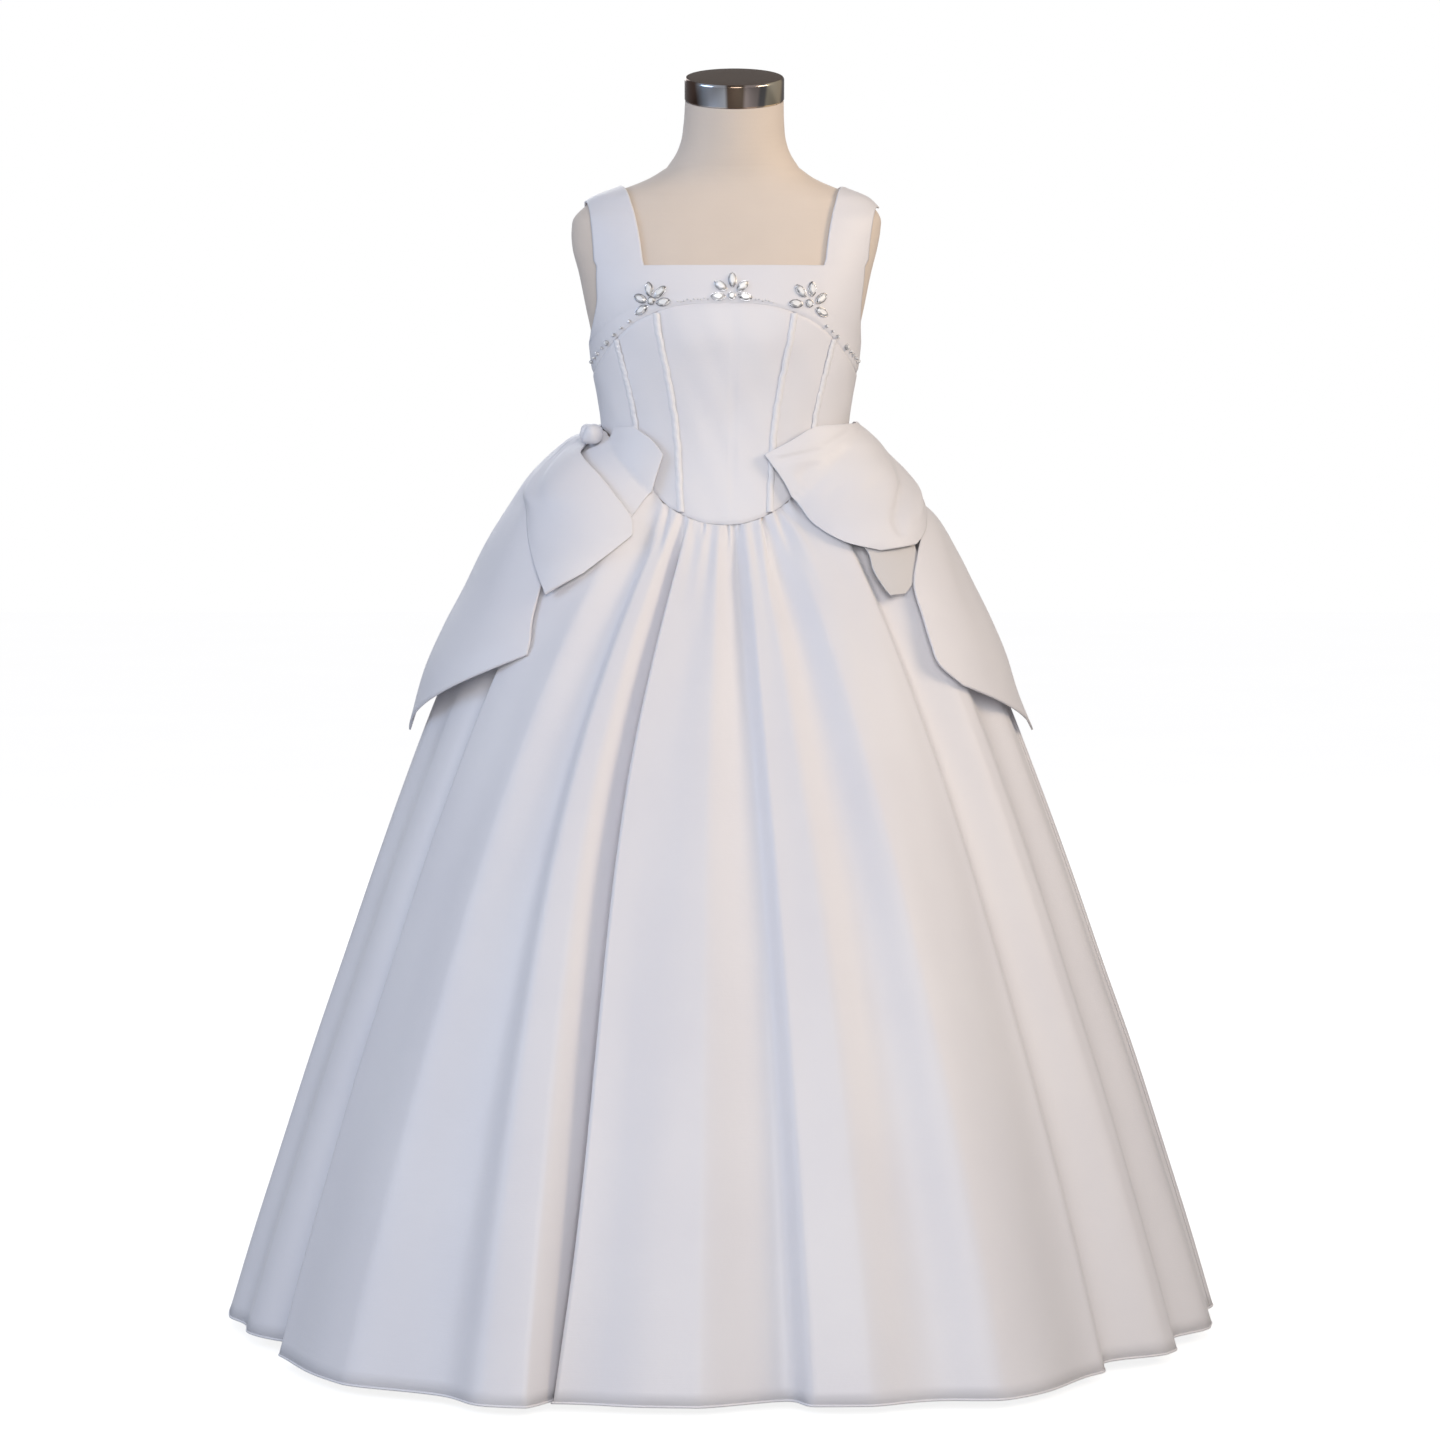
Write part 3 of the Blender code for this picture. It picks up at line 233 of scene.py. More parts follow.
FlapRow = namedtuple("FlapRow", "angle_a height_a lift_a angle_b height_b lift_b belly")
BOW_CLOTHS = {
    "bow_left_rear_flap": [
        FlapRow(-65, 0.8222, 0.0034, -53, 0.8230, 0.0060, 0.001),
        FlapRow(-69, 0.8085, 0.0040, -43, 0.8110, 0.0070, 0.001),
        FlapRow(-76, 0.7955, 0.0056, -36, 0.7970, 0.0070, 0.002),
        FlapRow(-73, 0.7850, 0.0062, -38, 0.7800, 0.0070, 0.003),
        FlapRow(-60, 0.7690, 0.0072, -40, 0.7600, 0.0070, 0.002),
        FlapRow(-51, 0.7520, 0.0049, -42, 0.7410, 0.0050, 0.001),
    ],
    "bow_left_front_flap": [
        FlapRow(-87, 0.8150, 0.0100, -80.5, 0.8135, 0.0036, 0.000),
        FlapRow(-86, 0.8075, 0.0185, -77, 0.8065, 0.0052, 0.001),
        FlapRow(-84, 0.7990, 0.0210, -71, 0.8000, 0.0140, 0.002),
        FlapRow(-83, 0.7880, 0.0240, -66, 0.7940, 0.0170, 0.003),
        FlapRow(-81, 0.7760, 0.0270, -57, 0.7800, 0.0170, 0.005),
        FlapRow(-77, 0.7610, 0.0265, -48, 0.7620, 0.0160, 0.006),
        FlapRow(-73, 0.7470, 0.0194, -40, 0.7420, 0.0125, 0.007),
        FlapRow(-65, 0.7180, 0.0158, -37.5, 0.7270, 0.0110, 0.006),
        FlapRow(-58, 0.6960, 0.0170, -42, 0.7090, 0.0110, 0.004),
        FlapRow(-52.5, 0.6750, 0.0150, -46, 0.6930, 0.0110, 0.001),
    ],
    "bow_left_tail": [
        FlapRow(-100, 0.8160, 0.0130, -86, 0.8150, 0.0036, 0.001),
        FlapRow(-101, 0.8085, 0.0210, -84.5, 0.8050, 0.0080, 0.003),
        FlapRow(-104, 0.7800, 0.0250, -70, 0.7770, 0.0090, 0.006),
        FlapRow(-105, 0.7500, 0.0210, -64, 0.7520, 0.0090, 0.007),
        FlapRow(-105, 0.7150, 0.0200, -59, 0.7150, 0.0085, 0.007),
        FlapRow(-104, 0.6750, 0.0170, -56.5, 0.6800, 0.0080, 0.007),
        FlapRow(-101, 0.6350, 0.0170, -54.5, 0.6530, 0.0080, 0.009),
        FlapRow(-97, 0.5900, 0.0180, -52.5, 0.6350, 0.0080, 0.009),
        FlapRow(-92, 0.5450, 0.0140, -52.0, 0.6220, 0.0064, 0.007),
    ],
    "bow_right_flap": [
        FlapRow(64, 0.8250, 0.0070, 100, 0.8270, 0.0080, 0.001),
        FlapRow(51, 0.8220, 0.0070, 110, 0.8200, 0.0100, 0.003),
        FlapRow(38, 0.8090, 0.0070, 112, 0.8090, 0.0100, 0.006),
        FlapRow(23.5, 0.7970, 0.0070, 112, 0.7970, 0.0105, 0.005),
        FlapRow(27.5, 0.7870, 0.0075, 109, 0.7860, 0.0110, 0.006),
        FlapRow(33, 0.7710, 0.0080, 101, 0.7740, 0.0120, 0.006),
        FlapRow(36.5, 0.7540, 0.0085, 88, 0.7610, 0.0150, 0.005),
        FlapRow(38.5, 0.7370, 0.0090, 77, 0.7430, 0.0160, 0.006),
        FlapRow(45, 0.7210, 0.0100, 71, 0.7290, 0.0150, 0.004),
        FlapRow(54, 0.7130, 0.0110, 65, 0.7180, 0.0140, 0.001),
    ],
    "bow_right_underlay": [
        FlapRow(48, 0.7400, 0.0060, 68, 0.7420, 0.0060, 0.000),
        FlapRow(51, 0.7140, 0.0060, 67, 0.7160, 0.0060, 0.000),
        FlapRow(50, 0.6970, 0.0060, 65, 0.7000, 0.0060, 0.001),
        FlapRow(50.5, 0.6830, 0.0060, 61, 0.6870, 0.0060, 0.001),
        FlapRow(51.5, 0.6740, 0.0060, 56, 0.6750, 0.0060, 0.000),
    ],
    "bow_right_tail": [
        FlapRow(84, 0.7740, 0.0034, 97, 0.7740, 0.0034, 0.000),
        FlapRow(80, 0.7580, 0.0065, 101, 0.7580, 0.0075, 0.000),
        FlapRow(76, 0.7400, 0.0100, 104, 0.7400, 0.0130, 0.004),
        FlapRow(66, 0.7120, 0.0095, 104, 0.7100, 0.0130, 0.004),
        FlapRow(59, 0.6830, 0.0090, 103, 0.6800, 0.0120, 0.004),
        FlapRow(57.5, 0.6560, 0.0080, 102, 0.6500, 0.0120, 0.005),
        FlapRow(56.5, 0.6330, 0.0080, 100, 0.6100, 0.0120, 0.005),
        FlapRow(56.5, 0.6130, 0.0080, 96, 0.5750, 0.0110, 0.003),
        FlapRow(61.0, 0.5940, 0.0080, 92, 0.5450, 0.0130, 0.001),
    ],
}

Knot = namedtuple("Knot", "name angle height lift half_width half_depth half_height")
KNOTS = [
    Knot("bow_left_knot", -74, 0.8145, 0.0154, 0.0125, 0.0105, 0.0105),
    Knot("bow_right_knot", 125, 0.8210, 0.0106, 0.0125, 0.0085, 0.0105),
]

Stone = namedtuple("Stone", "x height turn")
STONES = [
    Stone(0.0065, 0.9525, 90),
    Stone(-0.0040, 0.9475, 145),
    Stone(0.0155, 0.9472, 42),
    Stone(-0.0062, 0.9383, 178),
    Stone(0.0178, 0.9380, -12),
    Stone(-0.0677, 0.9446, 106),
    Stone(-0.0578, 0.9422, 48),
    Stone(-0.0754, 0.9366, 156),
    Stone(-0.0550, 0.9333, 6),
    Stone(-0.0745, 0.9265, 212),
    Stone(0.0676, 0.9432, 130),
    Stone(0.0777, 0.9450, 82),
    Stone(0.0858, 0.9368, 38),
    Stone(0.0632, 0.9320, 178),
    Stone(0.0864, 0.9250, -28),
]
CENTRE_STONES = [
    Stone(0.0060, 0.9388, 0),
    Stone(-0.0657, 0.9345, 0),
    Stone(0.0752, 0.9325, 0),
]


# Surfaces

NORMAL_STEP = 0.0005
RIPPLE_DEPTH = 0.0010
RIPPLE_DEPTH_FINE = 0.0006
RIPPLE_START = 0.15
CREASE_FADE = 1.2


def curve_through(table, key, column):
    """A smooth curve through one column of a table, as a function of its key column."""
    places = np.array([getattr(row, key) for row in table], float)
    values = np.array([getattr(row, column) for row in table], float)
    return smooth_curve(places, values)


def smooth_curve(places, values):
    slopes = np.gradient(values, places)
    steps = np.diff(places)

    def value(at):
        at = np.clip(at, places[0], places[-1])
        i = np.clip(np.searchsorted(places, at) - 1, 0, len(steps) - 1)
        share = (at - places[i]) / steps[i]
        rise = share * share * (3 - 2 * share)
        out = share * (1 - share) ** 2
        back = -share * share * (1 - share)
        return (
            values[i] * (1 - rise)
            + values[i + 1] * rise
            + steps[i] * (slopes[i] * out + slopes[i + 1] * back)
        )

    return value


form_half_width = curve_through(FORM, "height", "half_width")
form_half_depth = curve_through(FORM, "height", "half_depth")
form_centre_x = curve_through(FORM, "height", "centre_x")
form_centre_y = curve_through(FORM, "height", "centre_y")
form_squareness = curve_through(FORM, "height", "squareness")
waist_curve = curve_through(WAIST, "angle", "height")
flare_front = curve_through(FLARE, "share", "front")
flare_side = curve_through(FLARE, "share", "side")
flare_back = curve_through(FLARE, "share", "back")
neck_half_width = curve_through(NECK, "share", "half_width")
neck_half_depth = curve_through(NECK, "share", "half_depth")


def form_point(angle, height):
    """The form's surface at an angle from the centre front, in degrees, and a height."""
    turn = np.radians(angle)
    power = form_squareness(height)
    reach = (
        (np.abs(np.sin(turn)) / form_half_width(height)) ** power
        + (np.abs(np.cos(turn)) / form_half_depth(height)) ** power
    ) ** (-1 / power)
    return np.stack(
        [
            form_centre_x(height) + reach * np.sin(turn),
            form_centre_y(height) - reach * np.cos(turn),
            height + 0 * reach,
        ],
        axis=-1,
    )


def form_depth(point):
    """Negative inside the form, positive outside it."""
    x, y, z = point[..., 0], point[..., 1], point[..., 2]
    power = form_squareness(z)
    return (
        (np.abs(x - form_centre_x(z)) / form_half_width(z)) ** power
        + (np.abs(y - form_centre_y(z)) / form_half_depth(z)) ** power
        - 1
    )


def form_normal(point):
    """The direction straight out of the form, at or near its surface."""
    rise = [
        form_depth(point + offset) - form_depth(point - offset)
        for offset in np.eye(3) * NORMAL_STEP
    ]
    normal = np.stack(rise, axis=-1)
    return normal / np.linalg.norm(normal, axis=-1, keepdims=True)


def lifted(point, lift):
    return point + form_normal(point) * np.asarray(lift)[..., None]


def over_shoulder(x, slope, lift):
    """A point over the shoulder, at a slope in degrees: 0 faces front, 90 up, 180 back."""
    x, slope = np.broadcast_arrays(np.asarray(x, float), np.asarray(slope, float))
    core = np.stack([x, 0 * x + form_centre_y(SHOULDER_CORE), 0 * x + SHOULDER_CORE], -1)
    turn = np.radians(slope)
    ray = np.stack([0 * x, -np.cos(turn), np.sin(turn)], -1)
    near = np.zeros(x.shape)
    far = near + SHOULDER_REACH
    for _ in range(SHOULDER_SEARCH_STEPS):
        middle = (near + far) / 2
        inside = form_depth(core + ray * middle[..., None]) < 0
        near = np.where(inside, middle, near)
        far = np.where(inside, far, middle)
    return lifted(core + ray * near[..., None], lift)


def bodice_point(angle, height, lift=0.0):
    """The bodice's outer surface."""
    return lifted(form_point(angle, height), BODICE_EASE + BODICE_WALL + lift)


def yoke_seam(angle):
    """Height of the seam under the yoke."""
    middle = bodice_point(angle, YOKE_SEAM_TOP - YOKE_SEAM_DROP / 2 + 0 * angle)
    across = np.minimum(np.abs(middle[..., 0]) / YOKE_SEAM_HALF_WIDTH, 1)
    front = YOKE_SEAM_TOP - YOKE_SEAM_DROP * across**YOKE_SEAM_POWER
    back = YOKE_SEAM_TOP - YOKE_SEAM_DROP
    return np.where(np.abs(angle) < SIDE_SEAM_ANGLE, front, back)


def waist_seam(angle):
    return waist_curve(np.abs((np.asarray(angle) + 180) % 360 - 180))


def hem_height(angle):
    return HEM_HEIGHT + HEM_RISE * np.sin(np.radians(angle)) ** 2


def skirt_fold(angle, share):
    """Radial and sideways shift that the folds give, in metres."""
    out = np.zeros(np.broadcast(angle, share).shape)
    along = out.copy()
    turning = np.clip((share - CURL_START) / (CURL_END - CURL_START), 0, 1)
    turning = turning * turning * (3 - 2 * turning)
    for fold in FOLDS:
        off = (angle - fold.angle + 180) % 360 - 180
        reach = np.where(off < 0, fold.left, fold.right)
        place = np.abs(off) / reach
        steep = np.where(off < 0, fold.steep_left, fold.steep_right)
        hollow = np.clip(1 - place**steep, 0, None) ** 2
        grow = share**FOLD_GROWTH
        depth = fold.depth_top + (fold.depth_hem - fold.depth_top) * grow
        depth = depth * np.clip(share / FOLD_START, 0, 1)
        out -= depth * hollow
        lips = np.where(place < 1, place, np.exp(-(((place - 1) / PINCH_REACH) ** 2)))
        along -= np.sign(off) * reach * fold.pinch * share**PINCH_GROWTH * lips
        along += fold.lean * grow * hollow
        along += fold.curl * turning * np.exp(-((off / CURL_REACH) ** 2))
    return out, along


def skirt_gather(angle, share):
    """Radial shift that the small gathers under the waist seam give."""
    wave = np.sin(np.radians(angle * GATHER_WAVES + GATHER_PHASE))
    length = GATHER_FADE * (1 - GATHER_UNEVEN * (1 - wave))
    fade = np.clip(1 - share / length, 0, 1) ** GATHER_TAPER
    start = GATHER_START_DEPTH + (1 - GATHER_START_DEPTH) * np.clip(share / GATHER_START, 0, 1)
    return GATHER_DEPTH * (1 - np.cos(np.radians(angle * GATHERS))) * fade * start


# Creases of the skirt: angle where it starts and ends, share of the length where it
# starts and ends, half width in degrees, and depth
Crease = namedtuple("Crease", "angle_top angle_foot top foot width depth")
CREASES = [
    Crease(-24.0, -24.5, 0.000, 0.100, 1.3, 0.0040),
    Crease(-32.0, -26.5, 0.000, 0.065, 1.1, 0.0044),
    Crease(-18.0, -16.0, 0.000, 0.030, 1.0, 0.0020),
    Crease(-12.0, -11.5, 0.000, 0.025, 0.9, 0.0030),
    Crease(1.5, 1.0, 0.000, 0.040, 0.8, 0.0036),
    Crease(8.5, 6.5, 0.000, 0.036, 0.8, 0.0036),
    Crease(4.8, 4.8, 0.012, 0.300, 2.2, 0.0050),
    Crease(21.5, 16.5, 0.000, 0.140, 0.9, 0.0040),
    Crease(21.5, 26.0, 0.000, 0.045, 0.9, 0.0032),
    Crease(32.0, 38.0, 0.000, 0.055, 1.3, 0.0050),
    Crease(38.0, 42.5, 0.000, 0.050, 1.3, 0.0046),
    Crease(29.0, 31.0, 0.000, 0.120, 1.4, 0.0036),
    Crease(-40.0, -41.0, 0.000, 0.100, 1.6, 0.0030),
    Crease(40.0, 43.0, 0.000, 0.160, 1.8, 0.0035),
    Crease(118.0, 118.5, 0.000, 0.110, 1.5, 0.0030),
    Crease(141.0, 142.0, 0.000, 0.090, 1.4, 0.0030),
    Crease(166.0, 166.5, 0.000, 0.120, 1.5, 0.0032),
    Crease(-172.0, -171.5, 0.000, 0.070, 1.2, 0.0028),
    Crease(-146.0, -147.0, 0.000, 0.120, 1.5, 0.0032),
    Crease(-119.0, -118.5, 0.000, 0.090, 1.4, 0.0030),
]


def skirt_crease(angle, share):
    """Radial shift of the creases that run down from the waist seam."""
    out = np.zeros(np.broadcast(angle, share).shape)
    for crease in CREASES:
        down = np.clip((share - crease.top) / (crease.foot - crease.top), 0, 1)
        middle = crease.angle_top + (crease.angle_foot - crease.angle_top) * down
        off = ((angle - middle + 180) % 360 - 180) / (crease.width * (1 + down))
        out -= crease.depth * np.exp(-off * off) * (1 - down) ** CREASE_FADE
    return out


def skirt_ripple(angle, share):
    """Soft unevenness of hanging cloth: long, shallow and different all round."""
    turn = np.radians(angle)
    long_waves = (
        np.sin(11 * turn + 2.1 * share + 0.4)
        + 0.7 * np.sin(17 * turn - 3.3 * share + 1.9)
        + 0.5 * np.sin(29 * turn + 4.7 * share + 3.1)
    )
    small = 0.35 * np.sin(23 * turn + 19 * share + 0.7) * np.sin(9 * share + 5 * turn)
    ripple = RIPPLE_DEPTH * long_waves + RIPPLE_DEPTH_FINE * small
    return ripple * np.clip(share / RIPPLE_START, 0, 1)


def skirt_point(angle, share, lift=0.0, folds=1.0):
    """The skirt's outer surface at an angle and a share of the way from waist to hem."""
    angle, share = np.broadcast_arrays(np.asarray(angle, float), np.asarray(share, float))
    top = bodice_point(angle, waist_seam(angle))
    turn = np.radians(angle)
    side = np.sin(turn) ** 2
    ahead = np.where(np.cos(turn) > 0, flare_front(share), flare_back(share))
    flare = flare_side(share) * side + ahead * (1 - side)
    out, along = skirt_fold(angle, share)
    fine = skirt_gather(angle, share) + skirt_crease(angle, share) + skirt_ripple(angle, share)
    reach = flare + folds * (out + fine) + lift
    point = np.empty(angle.shape + (3,))
    point[..., 0] = top[..., 0] + reach * np.sin(turn) + folds * along * np.cos(turn)
    point[..., 1] = top[..., 1] - reach * np.cos(turn) + folds * along * np.sin(turn)
    point[..., 0] += SKIRT_LEAN * np.clip(share / LEAN_SHARE, 0, 1)
    point[..., 2] = top[..., 2] + (hem_height(angle) - top[..., 2]) * share
    return point


def under_bow(angle, height, lift):
    """A point lifted off the plain skirt, or off the bodice above the waist seam."""
    angle, height = np.broadcast_arrays(np.asarray(angle, float), np.asarray(height, float))
    waist = waist_seam(angle)
    share = np.clip((waist - height) / (waist - hem_height(angle)), 0, 1)
    low = skirt_point(angle, share, lift, folds=0.0)
    high = bodice_point(angle, np.maximum(height, waist), lift)
    return np.where((height > waist)[..., None], high, low)


# Materials

def new_material(name):
    material = bpy.data.materials.new(name)
    material.use_nodes = True
    tree = material.node_tree
    return material, tree, tree.nodes["Principled BSDF"]


def add_node(tree, kind, links=(), **settings):
    """A node with its settings; links are (input, output socket of another node)."""
    node = tree.nodes.new(kind)
    for key, value in settings.items():
        if key in node.inputs:
            node.inputs[key].default_value = value
        else:
            setattr(node, key, value)
    for key, source in links:
        tree.links.new(source, node.inputs[key])
    return node


def set_values(node, values):
    for key, value in values.items():
        node.inputs[key].default_value = value


def object_place(tree):
    return add_node(tree, "ShaderNodeTexCoord").outputs["Object"]


def scaled(tree, source, scale):
    """Coordinates of a surface, stretched by a factor along each axis."""
    return add_node(tree, "ShaderNodeMapping", [("Vector", source)], Scale=scale).outputs["Vector"]


def noise(tree, place, scale, detail=2.0, roughness=0.5):
    return add_node(
        tree, "ShaderNodeTexNoise", [("Vector", place)], Scale=scale, Detail=detail, Roughness=roughness
    ).outputs["Fac"]


def wave(tree, place, pitch, distortion, direction):
    """Bands across one axis, in metres from band to band."""
    return add_node(
        tree,
        "ShaderNodeTexWave",
        [("Vector", place)],
        Scale=2 * math.pi / (20 * pitch),
        Distortion=distortion,
        bands_direction=direction,
    ).outputs["Fac"]


def colour_between(tree, factor, low, high, start=0.3, end=0.7):
    ramp = add_node(tree, "ShaderNodeValToRGB", [("Fac", factor)])
    ramp.color_ramp.elements[0].position = start
    ramp.color_ramp.elements[1].position = end
    ramp.color_ramp.elements[0].color = (*low, 1)
    ramp.color_ramp.elements[1].color = (*high, 1)
    return ramp.outputs["Color"]


def number_between(tree, factor, low, high):
    return add_node(
        tree, "ShaderNodeMapRange", [("Value", factor)], **{"To Min": low, "To Max": high}
    ).outputs["Result"]


def bump(tree, height, distance, strength=1.0, under=None):
    links = [("Height", height)]
    if under is not None:
        links.append(("Normal", under))
    return add_node(
        tree, "ShaderNodeBump", links, Distance=distance, Strength=strength
    ).outputs["Normal"]


THREAD_PITCH = 0.0006
WEFT_SPREAD = 1.25
KNIT_PITCH = 0.0011


def satin(name, low, high, roughness, sheen):
    """Matte satin: fine threads both ways, faint slubs, soft crumple and shade."""
    material, tree, shader = new_material(name)
    cloth = add_node(tree, "ShaderNodeUVMap", uv_map="cloth").outputs["UV"]
    place = object_place(tree)
    broad = noise(tree, place, scale=7.0, detail=3.0, roughness=0.55)
    tree.links.new(colour_between(tree, broad, low, high), shader.inputs["Base Color"])
    slub = noise(tree, scaled(tree, cloth, (55, 900, 1)), scale=1.0, detail=4.0, roughness=0.6)
    gloss = number_between(tree, slub, roughness - 0.07, roughness + 0.07)
    tree.links.new(gloss, shader.inputs["Roughness"])
    crumple = noise(tree, place, scale=34.0, detail=4.0)
    warp = wave(tree, cloth, THREAD_PITCH, 0.6, "X")
    weft = wave(tree, cloth, THREAD_PITCH * WEFT_SPREAD, 0.6, "Y")
    threads = add_node(
        tree, "ShaderNodeMath", [(0, warp), (1, weft)], operation="MULTIPLY"
    ).outputs["Value"]
    normal = bump(tree, crumple, 0.0012, 0.35)
    normal = bump(tree, slub, 0.00012, 0.5, normal)
    normal = bump(tree, threads, 0.00006, 0.5, normal)
    tree.links.new(normal, shader.inputs["Normal"])
    set_values(shader, {"Sheen Weight": sheen, "Sheen Roughness": 0.45, "Specular IOR Level": 0.45})
    return material


def jersey(name):
    """Close-knit jersey pulled over the form."""
    material, tree, shader = new_material(name)
    place = object_place(tree)
    broad = noise(tree, place, scale=9.0, detail=3.0)
    colour = colour_between(tree, broad, (0.70, 0.605, 0.52), (0.76, 0.66, 0.57))
    tree.links.new(colour, shader.inputs["Base Color"])
    knit = noise(tree, scaled(tree, place, (1.0, 1.0, 0.55)), scale=1500.0)
    rows = wave(tree, place, KNIT_PITCH, 1.5, "Z")
    normal = bump(tree, rows, 0.00012, 0.5, bump(tree, knit, 0.0002, 0.6))
    tree.links.new(normal, shader.inputs["Normal"])
    set_values(shader, {"Roughness": 0.85, "Specular IOR Level": 0.25})
    set_values(shader, {"Sheen Weight": 0.25, "Sheen Roughness": 0.5})
    return material


# Painted reflections round the cap's rim, as tones by share of the way round; 0.5 is the front
PAINTED_RIM_REFLECTIONS = [
    (0.000, (0.50, 0.47, 0.44)),
    (0.120, (0.80, 0.80, 0.80)),
    (0.245, (0.09, 0.055, 0.04)),
    (0.350, (0.14, 0.09, 0.07)),
    (0.385, (0.62, 0.68, 0.76)),
    (0.410, (0.86, 0.90, 0.98)),
    (0.465, (0.74, 0.76, 0.80)),
    (0.477, (0.16, 0.11, 0.08)),
    (0.528, (0.20, 0.15, 0.11)),
    (0.540, (0.62, 0.52, 0.48)),
    (0.582, (0.58, 0.50, 0.46)),
    (0.592, (0.30, 0.29, 0.29)),
    (0.610, (0.34, 0.33, 0.33)),
    (0.622, (0.95, 0.86, 0.66)),
    (0.690, (0.80, 0.66, 0.44)),
    (0.715, (0.12, 0.08, 0.06)),
    (0.780, (0.22, 0.17, 0.13)),
    (0.880, (0.75, 0.74, 0.72)),
    (1.000, (0.50, 0.47, 0.44)),
]


def rim_metal_with_painted_reflections(name):
    """Polished metal with upright streaks of painted reflection round the cap's rim."""
    material, tree, shader = new_material(name)
    centre = (-CAP_TOP[0], CAP_TOP[1], 0)
    moved = add_node(
        tree, "ShaderNodeMapping", [("Vector", object_place(tree))], Location=centre, Scale=(1, -1, 1)
    ).outputs["Vector"]
    split = add_node(tree, "ShaderNodeSeparateXYZ", [("Vector", moved)]).outputs
    turn = add_node(
        tree, "ShaderNodeMath", [(0, split["X"]), (1, split["Y"])], operation="ARCTAN2"
    ).outputs["Value"]
    share = add_node(
        tree, "ShaderNodeMapRange", [("Value", turn)], **{"From Min": -math.pi, "From Max": math.pi}
    ).outputs["Result"]
    ramp = add_node(tree, "ShaderNodeValToRGB", [("Fac", share)])
    elements = ramp.color_ramp.elements
    while len(elements) > 1:
        elements.remove(elements[-1])
    elements[0].position = PAINTED_RIM_REFLECTIONS[0][0]
    elements[0].color = (*PAINTED_RIM_REFLECTIONS[0][1], 1)
    for position, tone in PAINTED_RIM_REFLECTIONS[1:]:
        elements.new(position).color = (*tone, 1)
    # The painted reflections go into the base colour
    tree.links.new(ramp.outputs["Color"], shader.inputs["Base Color"])
    set_values(shader, {"Metallic": 1.0, "Roughness": 0.16})
    return material


def plain_metal(name, colour, roughness, grain, metallic=1.0, shine=0.5):
    """Metal or paint with a faint grain in its gloss."""
    material, tree, shader = new_material(name)
    fine = noise(tree, object_place(tree), scale=grain, detail=4.0)
    darker = tuple(channel * 0.9 for channel in colour)
    tree.links.new(colour_between(tree, fine, darker, colour), shader.inputs["Base Color"])
    gloss = number_between(tree, fine, roughness - 0.05, roughness + 0.08)
    tree.links.new(gloss, shader.inputs["Roughness"])
    set_values(shader, {"Metallic": metallic, "Specular IOR Level": shine})
    return material


def cut_glass_painted_glints(name):
    """Foil-backed stone: each facet has its own painted tone, from its face attribute; the bright and
    dark facets are painted reflections and glints.
    """
    material, tree, shader = new_material(name)
    tone = add_node(tree, "ShaderNodeAttribute", attribute_name="facet").outputs["Fac"]
    colour = colour_between(tree, tone, (0.03, 0.03, 0.033), (1.0, 1.0, 1.0), 0.0, 1.0)
    tree.links.new(colour, shader.inputs["Base Color"])
    set_values(shader, {"Metallic": 0.15, "Roughness": 0.20})
    set_values(shader, {"Coat Weight": 0.15, "Coat Roughness": 0.10})
    return material


def pearl(name):
    material, tree, shader = new_material(name)
    shade = noise(tree, object_place(tree), scale=420.0, detail=1.0)
    colour = colour_between(tree, shade, (0.60, 0.60, 0.63), (0.90, 0.89, 0.88))
    tree.links.new(colour, shader.inputs["Base Color"])
    set_values(shader, {"Roughness": 0.18, "Coat Weight": 0.8, "Coat Roughness": 0.08})
    return material


SATIN = satin("white_satin", (0.755, 0.742, 0.775), (0.790, 0.778, 0.802), 0.46, 0.25)
# The duller reverse of the satin: its rougher, less sheeny finish is real; its darker colour is painted
# shade
SHADE_PAINTED_REVERSE = satin("satin_reverse_painted_shade", (0.640, 0.622, 0.625), (0.680, 0.660, 0.662), 0.60, 0.10)
PIPING = satin("white_piping", (0.79, 0.78, 0.80), (0.82, 0.81, 0.83), 0.50, 0.25)
THREAD = satin("white_thread", (0.78, 0.77, 0.80), (0.83, 0.82, 0.84), 0.55, 0.2)
JERSEY = jersey("beige_jersey")
RIM_WITH_PAINTED_REFLECTIONS = rim_metal_with_painted_reflections("polished_rim_painted_reflections")
CAP_FACE = plain_metal("dark_cap_face", (0.105, 0.084, 0.070), 0.80, 160.0, 0.0, 0.15)
STEEL = plain_metal("brushed_stand", (0.62, 0.61, 0.60), 0.22, 90.0)
SILVER = plain_metal("stone_setting", (0.70, 0.70, 0.72), 0.20, 900.0)
GLASS_PAINTED_GLINTS = cut_glass_painted_glints("rhinestone_painted_glints")
PEARL = pearl("seed_pearls")


# Mesh helpers

def finish_piece(item, nodes=()):
    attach(item, "root")
    if nodes:
        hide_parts(*nodes)
    return item


def mesh_object(name, vertices, faces, material, smooth=True):
    mesh = bpy.data.meshes.new(name)
    mesh.from_pydata(np.asarray(vertices).tolist(), [], faces)
    mesh.materials.append(material)
    if smooth:
        mesh.shade_smooth()
    item = bpy.data.objects.new(name, mesh)
    bpy.context.scene.collection.objects.link(item)
    return item


